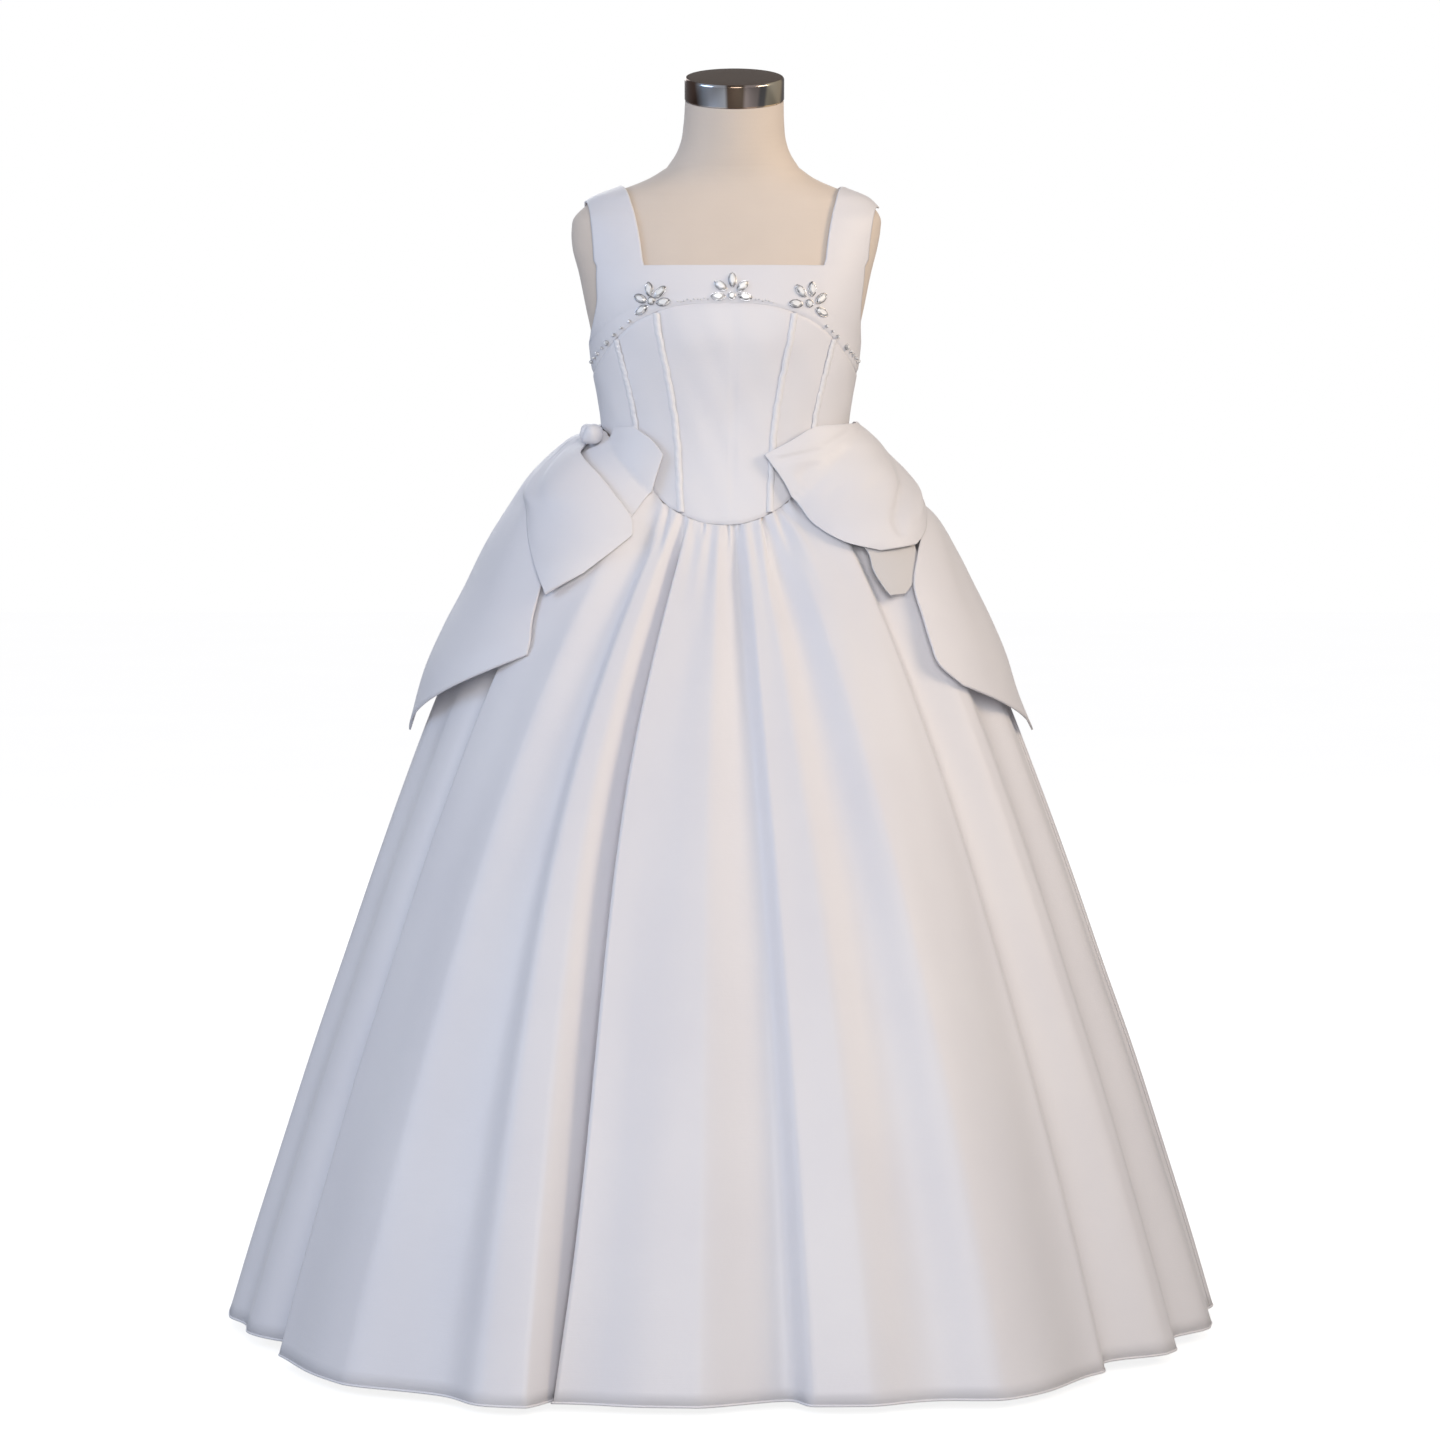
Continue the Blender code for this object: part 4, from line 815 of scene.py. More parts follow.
def ring_body(name, points, material, closed=False, smooth=True):
    """A closed body through rings of points: a torus if closed, or else with flat ends."""
    count, sides = points.shape[:2]
    index = np.arange(count * sides).reshape(count, sides)
    following = np.roll(index, -1, axis=1)
    if closed:
        above, above_following = np.roll(index, -1, axis=0), np.roll(following, -1, axis=0)
        faces = np.stack([index, following, above_following, above], -1).reshape(-1, 4).tolist()
    else:
        faces = np.stack([index[:-1], following[:-1], following[1:], index[1:]], -1)
        faces = faces.reshape(-1, 4).tolist()
        faces.append(index[0][::-1].tolist())
        faces.append(index[-1].tolist())
    return mesh_object(name, points.reshape(-1, 3), faces, material, smooth)


def circle(count, radius):
    turn = np.linspace(0, 2 * math.pi, count, endpoint=False)
    return np.stack([np.cos(turn), np.sin(turn)], -1) * radius


# A piece of cloth as it was cut, in metres and square metres
Cut = namedtuple("Cut", "width length area")


def lengths_along(points, axis):
    """Distance run from the first row or column, averaged over the other way."""
    steps = np.linalg.norm(np.diff(points, axis=axis), axis=-1).mean(axis=1 - axis)
    return np.concatenate([[0], np.cumsum(steps)])


def cloth(name, points, material, keep=None, wall=WALL):
    """A cloth shell: its outer surface from rows of points, thickened inwards."""
    rows, columns = points.shape[:2]
    index = np.arange(rows * columns).reshape(rows, columns)
    quads = np.stack([index[:-1, :-1], index[:-1, 1:], index[1:, 1:], index[1:, :-1]], -1)
    quads = quads[keep] if keep is not None else quads.reshape(-1, 4)
    used, quads = np.unique(quads, return_inverse=True)
    quads = quads.reshape(-1, 4)
    item = mesh_object(name, points.reshape(-1, 3)[used], quads.tolist(), material)
    across = np.broadcast_to(lengths_along(points, 1), (rows, columns)).reshape(-1)[used]
    down = np.broadcast_to(lengths_along(points, 0)[:, None], (rows, columns)).reshape(-1)[used]
    layer = item.data.uv_layers.new(name="cloth")
    corners = np.stack([across, down], -1)[quads.reshape(-1)]
    layer.data.foreach_set("uv", corners.reshape(-1))
    shell = item.modifiers.new("wall", "SOLIDIFY")
    shell.thickness = wall
    shell.offset = -1.0
    shell.use_quality_normals = True
    return item


# Below this sine of its angle with the upright, a cord takes its side from the Y axis
UPRIGHT_LIMIT = 0.2


def ring_tube(name, path, radius, material, sides=8):
    """A round cord along a ring of points."""
    ahead = np.roll(path, -1, axis=0) - np.roll(path, 1, axis=0)
    ahead /= np.linalg.norm(ahead, axis=-1, keepdims=True)
    side = np.cross(ahead, [0.0, 0.0, 1.0])
    upright = np.linalg.norm(side, axis=-1) < UPRIGHT_LIMIT
    side[upright] = np.cross(ahead[upright], [0.0, 1.0, 0.0])
    side /= np.linalg.norm(side, axis=-1, keepdims=True)
    other = np.cross(side, ahead)
    ring = circle(sides, radius)
    points = path[:, None] + ring[:, :1] * side[:, None] + ring[:, 1:] * other[:, None]
    return ring_body(name, points, material, closed=True)


def eased(count, ease=0.7):
    """Shares from 0 to 1 that crowd towards both ends."""
    even = np.linspace(0, 1, count)
    return even * (1 - ease) + (1 - np.cos(even * math.pi)) / 2 * ease


def seam_dip(distance):
    """How far a panel rolls in beside a seam."""
    return -SEAM_DIP * np.exp(-((distance / SEAM_DIP_WIDTH) ** 2))


# The dress form

FORM_COLUMNS = 128
FORM_RINGS = 90
NECK_RINGS = 26
FORM_SHARP_ANGLE = math.radians(50)
TURNED_SHARP_ANGLE = math.radians(35)
TOP_FACE_LIMIT = 0.85


def build_form():
    around = np.linspace(0, 360, FORM_COLUMNS, endpoint=False)
    heights = np.interp(np.linspace(0, 1, FORM_RINGS), FORM_RING_SHARES, FORM_RING_HEIGHTS)
    rings = [form_point(around, height) for height in heights]
    foot = np.array([FORM[-1].centre_x, FORM[-1].centre_y, FORM[-1].height])
    axis = np.array([0.0, -math.sin(NECK_TILT), math.cos(NECK_TILT)])
    head = np.array(CAP_TOP) - axis * (CAP_HEIGHT + SEAM_GAP)
    turn = np.radians(around)
    for share in np.linspace(0, 1, NECK_RINGS)[1:]:
        centre = foot + (head - foot) * share
        tilt = NECK_TILT * min(1.0, share / NECK_TILT_SHARE)
        across = np.array([1.0, 0.0, 0.0])
        forward = np.array([0.0, -math.cos(tilt), -math.sin(tilt)])
        rings.append(
            centre
            + np.outer(np.sin(turn) * neck_half_width(share), across)
            + np.outer(np.cos(turn) * neck_half_depth(share), forward)
        )
    torso = ring_body("form_jersey", np.array(rings), JERSEY)
    torso.data.set_sharp_from_angle(angle=FORM_SHARP_ANGLE)
    finish_piece(torso, ["form_torso"])


def revolve(name, profile, centre, tilt, material, top_material=None, segments=128):
    """A closed turned solid. profile is (radius, height) from the bottom axis to the top."""
    ring = circle(segments, 1.0)[:, ::-1] * (1, -1)
    rings = [np.column_stack([ring * radius, np.full(segments, height)]) for radius, height in profile]
    item = ring_body(name, np.array(rings), material)
    mesh = item.data
    if top_material:
        mesh.materials.append(top_material)
        for face in mesh.polygons:
            if face.normal.z > TOP_FACE_LIMIT:
                face.material_index = 1
    mesh.set_sharp_from_angle(angle=TURNED_SHARP_ANGLE)
    mesh.transform(Matrix.Translation(centre) @ Matrix.Rotation(tilt, 4, "X"))
    return item


def build_stand():
    axis = np.array([0.0, -math.sin(NECK_TILT), math.cos(NECK_TILT)])
    bottom = np.array(CAP_TOP) - axis * CAP_HEIGHT
    profile = [(CAP_RADIUS - CAP_EDGE, 0.0), (CAP_RADIUS, CAP_EDGE)]
    for step in np.linspace(0, math.pi / 2, 7):
        radius = CAP_RADIUS - CAP_ROUNDING * (1 - math.cos(step))
        profile.append((radius, CAP_HEIGHT - CAP_ROUNDING * (1 - math.sin(step))))
    profile.append((CAP_RADIUS * 0.5, CAP_HEIGHT))
    profile.append((AXIS_RADIUS, CAP_HEIGHT))
    cap = revolve("neck_cap_polished", profile, bottom, NECK_TILT, RIM_WITH_PAINTED_REFLECTIONS, CAP_FACE)
    finish_piece(cap, ["neck_cap"])
    profile = [
        (BASE_RADIUS - BASE_EDGE, 0.0),
        (BASE_RADIUS, BASE_EDGE),
        (BASE_RADIUS, BASE_THICKNESS - 2 * BASE_EDGE),
        (BASE_RADIUS - BASE_EDGE, BASE_THICKNESS - BASE_EDGE / 2),
        (BASE_RADIUS - 2 * BASE_EDGE, BASE_THICKNESS),
        (AXIS_RADIUS, BASE_THICKNESS),
    ]
    base = revolve("stand_base_polished", profile, (0, 0, 0), 0, STEEL)
    finish_piece(base, ["stand_base"])
    top = FORM[0].height - SEAM_GAP
    profile = [(POLE_RADIUS, BASE_THICKNESS + SEAM_GAP), (POLE_RADIUS, top)]
    pole = revolve("stand_pole_polished", profile, (0, 0, 0), 0, STEEL, segments=64)
    finish_piece(pole, ["stand_pole"])


# Bodice

BODICE_COLUMNS = 44
BODICE_ROWS = 70
BODICE_WAVER = 0.0004
FRONT_CREASE_X = 0.0073
FRONT_CREASE_WIDTH = 0.0016
FRONT_CREASE_DEPTH = 0.0005


def build_bodice(casings):
    up = eased(BODICE_ROWS)[:, None]
    for panel in PANELS:
        start = panel.start_waist + (panel.start_top - panel.start_waist) * up
        end = panel.end_waist + (panel.end_top - panel.end_waist) * up
        across = eased(BODICE_COLUMNS)[None, :]
        angles = start + (end - start) * across
        low = waist_seam(angles)
        heights = low + (yoke_seam(angles) - low) * up
        bare = bodice_point(angles, heights)
        width = np.linalg.norm(bare[:, -1] - bare[:, 0], axis=-1, keepdims=True)
        tall = np.linalg.norm(bare[-1] - bare[0], axis=-1)[None, :]
        lift = seam_dip(np.minimum(across, 1 - across) * width)
        lift = lift + seam_dip(np.minimum(up, 1 - up) * tall)
        if panel.name == "bodice_front":
            off = (bare[..., 0] - FRONT_CREASE_X) / FRONT_CREASE_WIDTH
            lift = lift - FRONT_CREASE_DEPTH * np.exp(-(off**2))
        waver = np.sin(bare[..., 2] * 95 + angles * 0.09) * np.sin(angles * 0.21)
        lift = lift + BODICE_WAVER * waver
        item = cloth(f"{panel.name}_satin", bodice_point(angles, heights, lift), SATIN)
        finish_piece(item, [panel.name])


CASING_WIDTH = 0.0062
CASING_RISE = 0.0014
CASING_GROOVE = 0.0004
CASING_GROOVE_PLACE = 0.62  # this and the width are shares of the casing's half width
CASING_GROOVE_WIDTH = 0.16
CASING_BED = 0.0004
CASING_WALL = 0.0008
CASING_ROWS = 160
CASING_COLUMNS = 15
CASING_END_GAP = 0.0012
PIPING_SEAMS = [
    ("piping_front_left", -40, -25),
    ("piping_front_right", 40, 25),
    ("piping_side_left", -60, -51),
    ("piping_side_right", 60, 51),
]


def build_piping():
    """Flat casings over the front seams: raised in the middle, stitched down at the edges."""
    casings = []
    up = np.linspace(0, 1, CASING_ROWS)[:, None]
    across = np.linspace(-1, 1, CASING_COLUMNS)[None, :]
    for name, top, foot in PIPING_SEAMS:
        angles = foot + (top - foot) * up
        low = waist_seam(angles) + CASING_END_GAP
        heights = low + (yoke_seam(angles) - CASING_END_GAP - low) * up
        middle = bodice_point(angles, heights)
        beside = bodice_point(angles + 0.5, heights)
        per_degree = np.linalg.norm(beside - middle, axis=-1) * 2
        wander = 0.00025 * np.sin(up * 47) + 0.0002 * np.sin(up * 83 + 1)
        turns = angles + (across * CASING_WIDTH / 2 + wander) / per_degree
        rise = CASING_RISE * np.clip(1 - across**4, 0, 1)
        off = (np.abs(across) - CASING_GROOVE_PLACE) / CASING_GROOVE_WIDTH
        rise = rise - CASING_GROOVE * np.exp(-(off**2))
        rise = rise + 0.00012 * np.sin(up * 131 + across * 2)
        points = bodice_point(turns, heights + 0 * across, CASING_BED + rise)
        item = cloth(f"{name}_casing", points, PIPING, wall=CASING_WALL)
        finish_piece(item, [name])
        casings.append(item)
    return casings


# Yoke

YOKE_ROWS = 46
STRAP_ROWS = 46
STRAP_COLUMNS = 26
NECK_COLUMNS = 34


def armhole_angle(height, edge):
    """Angle of the armhole's edge at a height, when it runs up at the angle edge."""
    below = np.clip((ARMHOLE_BOTTOM + ARMHOLE_ROUND - height) / ARMHOLE_ROUND, 0, 1)
    curve = 1 - np.sqrt(1 - below**2)
    return edge + (SIDE_SEAM_ANGLE - edge) * curve


def strap(angles, start, slope_end):
    """Rows of points from the neckline's height up to the shoulder seam."""
    x_start = start[:, 0]
    reach = np.abs(x_start)
    share = (reach - reach.min()) / (reach.max() - reach.min())
    ends = SHOULDER_INNER_X + (SHOULDER_OUTER_X - SHOULDER_INNER_X) * share
    x_end = np.sign(x_start) * ends + SHOULDER_SHIFT
    core_y = form_centre_y(SHOULDER_CORE)
    bare = form_point(angles, start[:, 2])
    slopes = np.degrees(np.arctan2(bare[:, 2] - SHOULDER_CORE, core_y - bare[:, 1]))
    slopes = np.where(slopes < -90, slopes + 360, slopes)
    rows = []
    for up in np.arange(1, STRAP_ROWS + 1) / STRAP_ROWS:
        rows.append(
            over_shoulder(
                x_start + (x_end - x_start) * up,
                slopes + (slope_end - slopes) * up,
                BODICE_EASE + BODICE_WALL,
            )
        )
    return rows


def yoke_piece(name, across, centre, neckline, corners, foot, slope_end):
    """One piece of the yoke, with straps where it reaches a side seam."""
    reaches_left, reaches_right = across[0] < 0, across[-1] > 0
    top_across = np.interp(across, [-1, -foot, foot, 1], [-1, corners[0], corners[1], 1])
    if not reaches_left:
        top_across = np.interp(across, [0, foot, 1], [0, corners[1], 1])
    if not reaches_right:
        top_across = np.interp(across, [-1, -foot, 0], [-1, corners[0], 0])
    side_seam_height = YOKE_SEAM_TOP - YOKE_SEAM_DROP
    rows = []
    for share in eased(YOKE_ROWS, 0.5):
        side_height = side_seam_height + (neckline - side_seam_height) * share
        spread = across + (top_across - across) * share
        edge = np.where((spread < 0) & (centre == 0), ARMHOLE_ANGLE_LEFT, ARMHOLE_ANGLE)
        angles = centre + spread * armhole_angle(side_height, edge)
        seam = yoke_seam(angles)
        above = share * (neckline - seam)
        rows.append(bodice_point(angles, seam + above, seam_dip(above)))
    keep = np.ones((YOKE_ROWS + STRAP_ROWS - 1, len(across) - 1), bool)
    keep[YOKE_ROWS - 1 :] = False
    top = np.zeros((STRAP_ROWS, len(across), 3))
    spans = []
    if reaches_left:
        spans.append((0, int(np.argmin(np.abs(across + foot)))))
    if reaches_right:
        spans.append((int(np.argmin(np.abs(across - foot))), len(across) - 1))
    for start, end in spans:
        span = slice(start, end + 1)
        top[:, span] = strap(angles[span], rows[-1][span], slope_end)
        keep[YOKE_ROWS - 1 :, start:end] = True
    return cloth(name, np.concatenate([np.array(rows), top]), SATIN, keep, wall=BODICE_WALL)


def yoke_shares(foot, both):
    """Shares across a yoke with a column exactly at the foot of each strap."""
    outer = np.linspace(foot, 1, STRAP_COLUMNS)
    inner = np.linspace(0, foot, NECK_COLUMNS)
    right = np.concatenate([inner, outer[1:]])
    if both:
        return np.concatenate([-right[:0:-1], right])
    return right


def build_yoke():
    front = yoke_piece(
        "yoke_front_satin",
        yoke_shares(STRAP_FOOT_FRONT, True),
        0.0,
        NECKLINE_FRONT,
        (NECK_CORNER_LEFT, NECK_CORNER_RIGHT),
        STRAP_FOOT_FRONT,
        90 - SHOULDER_SEAM,
    )
    finish_piece(front, ["yoke_front"])
    half = yoke_shares(STRAP_FOOT_BACK, False)
    corners = (-NECK_CORNER_BACK, NECK_CORNER_BACK)
    for side, across, centre in (("right", -half[::-1], 180.0), ("left", half, -180.0)):
        back = yoke_piece(
            f"yoke_back_{side}_satin",
            across,
            centre,
            NECKLINE_BACK,
            corners,
            STRAP_FOOT_BACK,
            90 + SHOULDER_SEAM,
        )
        finish_piece(back, [f"yoke_back_{side}"])


# Skirt

SkirtPanel = namedtuple("SkirtPanel", "name start end columns cut")
SKIRT_PANELS = [
    SkirtPanel("skirt_front", -90, 90, 400, Cut(1.60, 0.86, 0.88)),
    SkirtPanel("skirt_back_right", 90, 180, 190, Cut(0.85, 0.86, 0.45)),
    SkirtPanel("skirt_back_left", 180, 270, 190, Cut(0.85, 0.86, 0.45)),
]
SKIRT_ROWS = 100
SKIRT_CROWDING = 1.6
HEM_ROLL_POINTS = 1440


def build_skirt():
    # Rows crowd towards the waist, where the gathers are
    rows = (np.linspace(0, 1, SKIRT_ROWS) ** SKIRT_CROWDING)[::-1, None]
    for panel in SKIRT_PANELS:
        angles = np.linspace(panel.start, panel.end, panel.columns + 1)[None, :]
        item = cloth(f"{panel.name}_satin", skirt_point(angles, rows), SATIN)
        finish_piece(item, [panel.name])
    around = np.linspace(0, 360, HEM_ROLL_POINTS, endpoint=False)
    hem = skirt_point(around, 1.0)
    inward = np.stack([-np.sin(np.radians(around)), np.cos(np.radians(around)), 0 * around], -1)
    roll = ring_tube("hem_roll", hem + inward * HEM_ROLL_INSET, HEM_ROLL_RADIUS, THREAD)
    finish_piece(roll)


# Bows

FLAP_COLUMNS = 48
FLAP_ROWS = 64

# Soft folds of the bow cloths: the cloth, the two ends as shares across and down, the
# half width as a share of the cloth, and the depth, below zero for a ridge
BowFold = namedtuple("BowFold", "cloth across_a down_a across_b down_b width depth")
BOW_FOLDS = [
    BowFold("bow_left_front_flap", 0.35, 0.10, 0.22, 0.62, 0.10, 0.0030),
    BowFold("bow_left_front_flap", 0.15, 0.25, 0.10, 0.80, 0.10, -0.0016),
    BowFold("bow_left_front_flap", 0.95, 0.02, 0.86, 0.30, 0.10, -0.0016),
    BowFold("bow_left_rear_flap", 0.05, 0.20, 0.60, 0.75, 0.12, 0.0014),
    BowFold("bow_left_tail", 0.55, 0.05, 0.62, 0.90, 0.12, 0.0022),
    BowFold("bow_left_tail", 0.30, 0.15, 0.30, 0.95, 0.12, -0.0016),
    BowFold("bow_right_flap", 0.72, 0.35, 0.60, 0.90, 0.06, 0.0060),
    BowFold("bow_right_flap", 0.84, 0.30, 0.86, 0.80, 0.06, -0.0036),
    BowFold("bow_right_flap", 0.10, 0.55, 0.28, 0.42, 0.030, 0.0018),
    BowFold("bow_right_flap", 0.16, 0.66, 0.34, 0.53, 0.026, 0.0018),
    BowFold("bow_right_flap", 0.26, 0.28, 0.36, 0.12, 0.05, 0.0016),
    BowFold("bow_right_flap", 0.05, 0.40, 0.30, 0.30, 0.022, 0.0014),
    BowFold("bow_right_flap", 0.40, 0.62, 0.52, 0.50, 0.030, 0.0014),
    BowFold("bow_left_front_flap", 0.10, 0.05, 0.20, 0.35, 0.045, 0.0018),
    BowFold("bow_left_front_flap", 0.45, 0.02, 0.50, 0.22, 0.040, 0.0016),
    BowFold("bow_right_tail", 0.45, 0.10, 0.40, 0.95, 0.12, 0.0022),
    BowFold("bow_right_tail", 0.75, 0.10, 0.72, 0.95, 0.10, -0.0016),
]
# Rows of each bow cloth where its two side edges turn a corner
BOW_CORNERS = {
    "bow_left_rear_flap": ([], [2]),
    "bow_left_front_flap": ([], [7]),
    "bow_left_tail": ([], []),
    "bow_right_flap": ([3], []),
    "bow_right_underlay": ([], []),
    "bow_right_tail": ([], []),
}
# Bow cloths that turn their duller reverse outwards, in a darker satin whose colour is painted shade
CLOTHS_WITH_PAINTED_SHADE = {"bow_right_underlay"}


def bow_fold_lift(name, across, down):
    lift = np.zeros(np.broadcast(across, down).shape)
    for fold in BOW_FOLDS:
        if fold.cloth != name:
            continue
        line = np.array([fold.across_b - fold.across_a, fold.down_b - fold.down_a])
        length = np.linalg.norm(line)
        along = (across - fold.across_a) * line[0] + (down - fold.down_a) * line[1]
        along = along / length**2
        aside = (across - fold.across_a) * line[1] - (down - fold.down_a) * line[0]
        aside = aside / length
        reach = np.clip(along, 0, 1)
        ends = np.sin(np.pi * reach) ** 0.7 * (along > 0) * (along < 1)
        lift -= fold.depth * np.exp(-((aside / fold.width) ** 2)) * ends
    return lift


def build_bows():
    across = eased(FLAP_COLUMNS, 0.6)[None, :]
    for name, table in BOW_CLOTHS.items():
        places = np.linspace(0, 1, len(table))
        down = np.linspace(1, 0, FLAP_ROWS)

        def smooth(column, breaks=()):
            values = np.array([getattr(row, column) for row in table], float)
            ends = [0, *breaks, len(table) - 1]
            out = np.zeros(len(down))
            for first, last in zip(ends[:-1], ends[1:]):
                part = slice(first, last + 1)
                inside = (down >= places[first]) & (down <= places[last])
                curve = smooth_curve(places[part], values[part])
                out[inside] = curve(down[inside])
            return out[:, None]

        breaks_a, breaks_b = BOW_CORNERS[name]
        angles_a, angles_b = smooth("angle_a", breaks_a), smooth("angle_b", breaks_b)
        heights_a, heights_b = smooth("height_a", breaks_a), smooth("height_b", breaks_b)
        angles = angles_a * (1 - across) + angles_b * across
        heights = heights_a * (1 - across) + heights_b * across
        lifts = smooth("lift_a") * (1 - across) + smooth("lift_b") * across
        lifts = lifts + smooth("belly") * 4 * across * (1 - across)
        lifts = lifts + bow_fold_lift(name, across, down[:, None])
        points = under_bow(angles, heights, lifts)
        # The underlay gets the darker satin, which paints in the shade under the flap
        shown_material = SHADE_PAINTED_REVERSE if name in CLOTHS_WITH_PAINTED_SHADE else SATIN
        item = cloth(f"{name}_satin", points, shown_material, wall=BODICE_WALL)
        finish_piece(item, [name])


# Creases over the front of a knot: place across it as a share of its half width, slant,
# half width and depth, as shares too
KnotCrease = namedtuple("KnotCrease", "start slant width depth")
KNOT_CREASES = [
    KnotCrease(-0.40, 0.50, 0.24, 0.26),
    KnotCrease(0.30, 0.35, 0.20, 0.18),
]
KNOT_SQUARENESS = 0.6
KNOT_FLATNESS = 0.88
KNOT_SIDES = 72
KNOT_LEVELS = 41
KNOT_POLE = math.pi / 2 * 0.97
KNOT_PLEATS = 5
KNOT_PLEAT_DEPTH = 0.035
KNOT_SLANT = 0.9


def build_knots():
    for knot in KNOTS:
        across = np.linspace(0, 2 * math.pi, KNOT_SIDES, endpoint=False)
        rings = []
        for level in np.linspace(-KNOT_POLE, KNOT_POLE, KNOT_LEVELS):
            round_level = math.cos(level) ** KNOT_SQUARENESS
            turned = across * KNOT_PLEATS + KNOT_SLANT * math.sin(level)
            pleat = 1 + KNOT_PLEAT_DEPTH * np.sin(turned + 0.8) * math.cos(level)
            for crease in KNOT_CREASES:
                off = (np.sin(across) - crease.start - crease.slant * math.sin(level)) / crease.width
                pleat = pleat - crease.depth * np.exp(-off * off) * (np.cos(across) > 0)
            x = knot.half_width * round_level * np.sin(across) * pleat
            y = -knot.half_depth * round_level * np.cos(across) * pleat
            z = KNOT_FLATNESS * knot.half_height * math.sin(level) + 0 * across
            rings.append(np.stack([x, y, z], -1))
        turn = math.radians(knot.angle)
        back = [[math.cos(turn), math.sin(turn), 0], [-math.sin(turn), math.cos(turn), 0], [0, 0, 1]]
        points = np.array(rings) @ np.array(back) + bodice_point(knot.angle, knot.height, knot.lift)
        item = ring_body(f"{knot.name}_satin", points, SATIN)
        corners = np.empty(len(item.data.loops), np.int32)
        item.data.loops.foreach_get("vertex_index", corners)
        layer = item.data.uv_layers.new(name="cloth")
        layer.data.foreach_set("uv", points.reshape(-1, 3)[corners][:, [0, 2]].reshape(-1))
        finish_piece(item, [knot.name])


# Stones and beads

def angle_of_x(x, height):
    angles = np.linspace(-SIDE_SEAM_ANGLE, SIDE_SEAM_ANGLE, 721)
    return np.interp(x, bodice_point(angles, height + 0 * angles)[:, 0], angles)


StoneRing = namedtuple("StoneRing", "size rise")
STONE_RINGS = [
    StoneRing(0.90, 0.00),
    StoneRing(1.00, 0.35),
    StoneRing(0.82, 0.75),
    StoneRing(0.55, 1.00),
]
# Painted reflection tones of the facets, 0 dark and 1 bright: the range for each band
# of them from the foot up, and the two ends
FACET_PAINTED_DARKEST = [0.05, 0.02, 0.40]
FACET_PAINTED_BRIGHTEST = [1.0, 0.90, 1.0]
FACET_PAINTED_ENDS = [0.1, 1.0]
SETTING_RADIUS = 0.00045
SETTING_LIFT = 0.0009
STONE_POINT = 0.3


def stone_points(stone, outline, size, lift):
    angle = angle_of_x(stone.x, stone.height)
    reach = bodice_point(np.array([angle - 0.5, angle + 0.5]), stone.height + np.zeros(2))
    per_degree = np.linalg.norm(reach[1] - reach[0])
    turn = math.radians(stone.turn)
    along = outline[:, 0] * math.cos(turn) - outline[:, 1] * math.sin(turn)
    rise = outline[:, 0] * math.sin(turn) + outline[:, 1] * math.cos(turn)
    return bodice_point(
        angle + along * size / per_degree, stone.height + rise * size, lift + 0 * along
    )


def marquise(count, length, width):
    ends = np.linspace(0, 2 * math.pi, count, endpoint=False)
    return np.stack(
        [
            np.cos(ends) * length / 2,
            np.sin(ends) * np.abs(np.sin(ends)) ** STONE_POINT * width / 2,
        ],
        axis=-1,
    )


def build_stone(name, stone, outline, seed, nodes=(), painted_darkest=0.0):
    rings = [
        stone_points(stone, outline, ring.size, SEAM_GAP + ring.rise * STONE_HEIGHT)
        for ring in STONE_RINGS
    ]
    item = ring_body(name, np.array(rings), GLASS_PAINTED_GLINTS, smooth=False)
    random = np.random.default_rng(seed)
    sides = len(outline)
    # Each facet gets a painted reflection tone, picked at random within its band
    painted_tones = random.uniform(np.repeat(FACET_PAINTED_DARKEST, sides), np.repeat(FACET_PAINTED_BRIGHTEST, sides))
    painted_tones = np.append(np.maximum(painted_tones, painted_darkest), FACET_PAINTED_ENDS)
    attribute = item.data.attributes.new("facet", "FLOAT", "FACE")
    attribute.data.foreach_set("value", painted_tones.astype(np.float32))
    finish_piece(item, nodes)


def build_set_stone(node, stone, outline, rim, seed):
    """A stone in its setting, a fine ring round its foot."""
    build_stone(f"{node}_cut", stone, outline, seed, [node])
    path = stone_points(stone, rim, 1.0, SETTING_LIFT)
    setting = ring_tube(f"{node}_setting", path, SETTING_RADIUS, SILVER)
    finish_piece(setting)


def build_stones():
    pointed = marquise(12, STONE_LENGTH, STONE_WIDTH)
    rim = marquise(40, STONE_LENGTH * 1.02, STONE_WIDTH * 1.04)
    for number, stone in enumerate(STONES, 1):
        build_set_stone(f"rhinestone_{number:02d}", stone, pointed, rim, number)
    small = circle(10, CENTRE_STONE_WIDTH / 2)
    small_rim = circle(32, CENTRE_STONE_WIDTH / 2 * 1.05)
    for number, stone in enumerate(CENTRE_STONES, 1):
        build_set_stone(f"rhinestone_centre_{number}", stone, small, small_rim, 50 + number)


def joined_balls(name, places, radius, material):
    """Many small balls as one mesh."""
    levels, sides = 7, 10
    polar = np.linspace(-math.pi / 2, math.pi / 2, levels + 2)[1:-1]
    around = circle(sides, 1.0)
    ball = [(math.cos(p) * y, math.cos(p) * x, math.sin(p)) for p in polar for x, y in around]
    ball = np.array(ball + [(0, 0, -1), (0, 0, 1)])
    faces = []
    south, north = levels * sides, levels * sides + 1
    for j in range(sides):
        k = (j + 1) % sides
        for low in range(0, (levels - 1) * sides, sides):
            faces.append((low + j, low + sides + j, low + sides + k, low + k))
        faces.append((south, j, k))
        faces.append((north, (levels - 1) * sides + k, (levels - 1) * sides + j))
    vertices = np.concatenate([place + ball * radius for place in places])
    every_face = []
    for base in range(0, len(vertices), len(ball)):
        every_face.extend(tuple(base + v for v in face) for face in faces)
    return mesh_object(name, vertices, every_face, material)


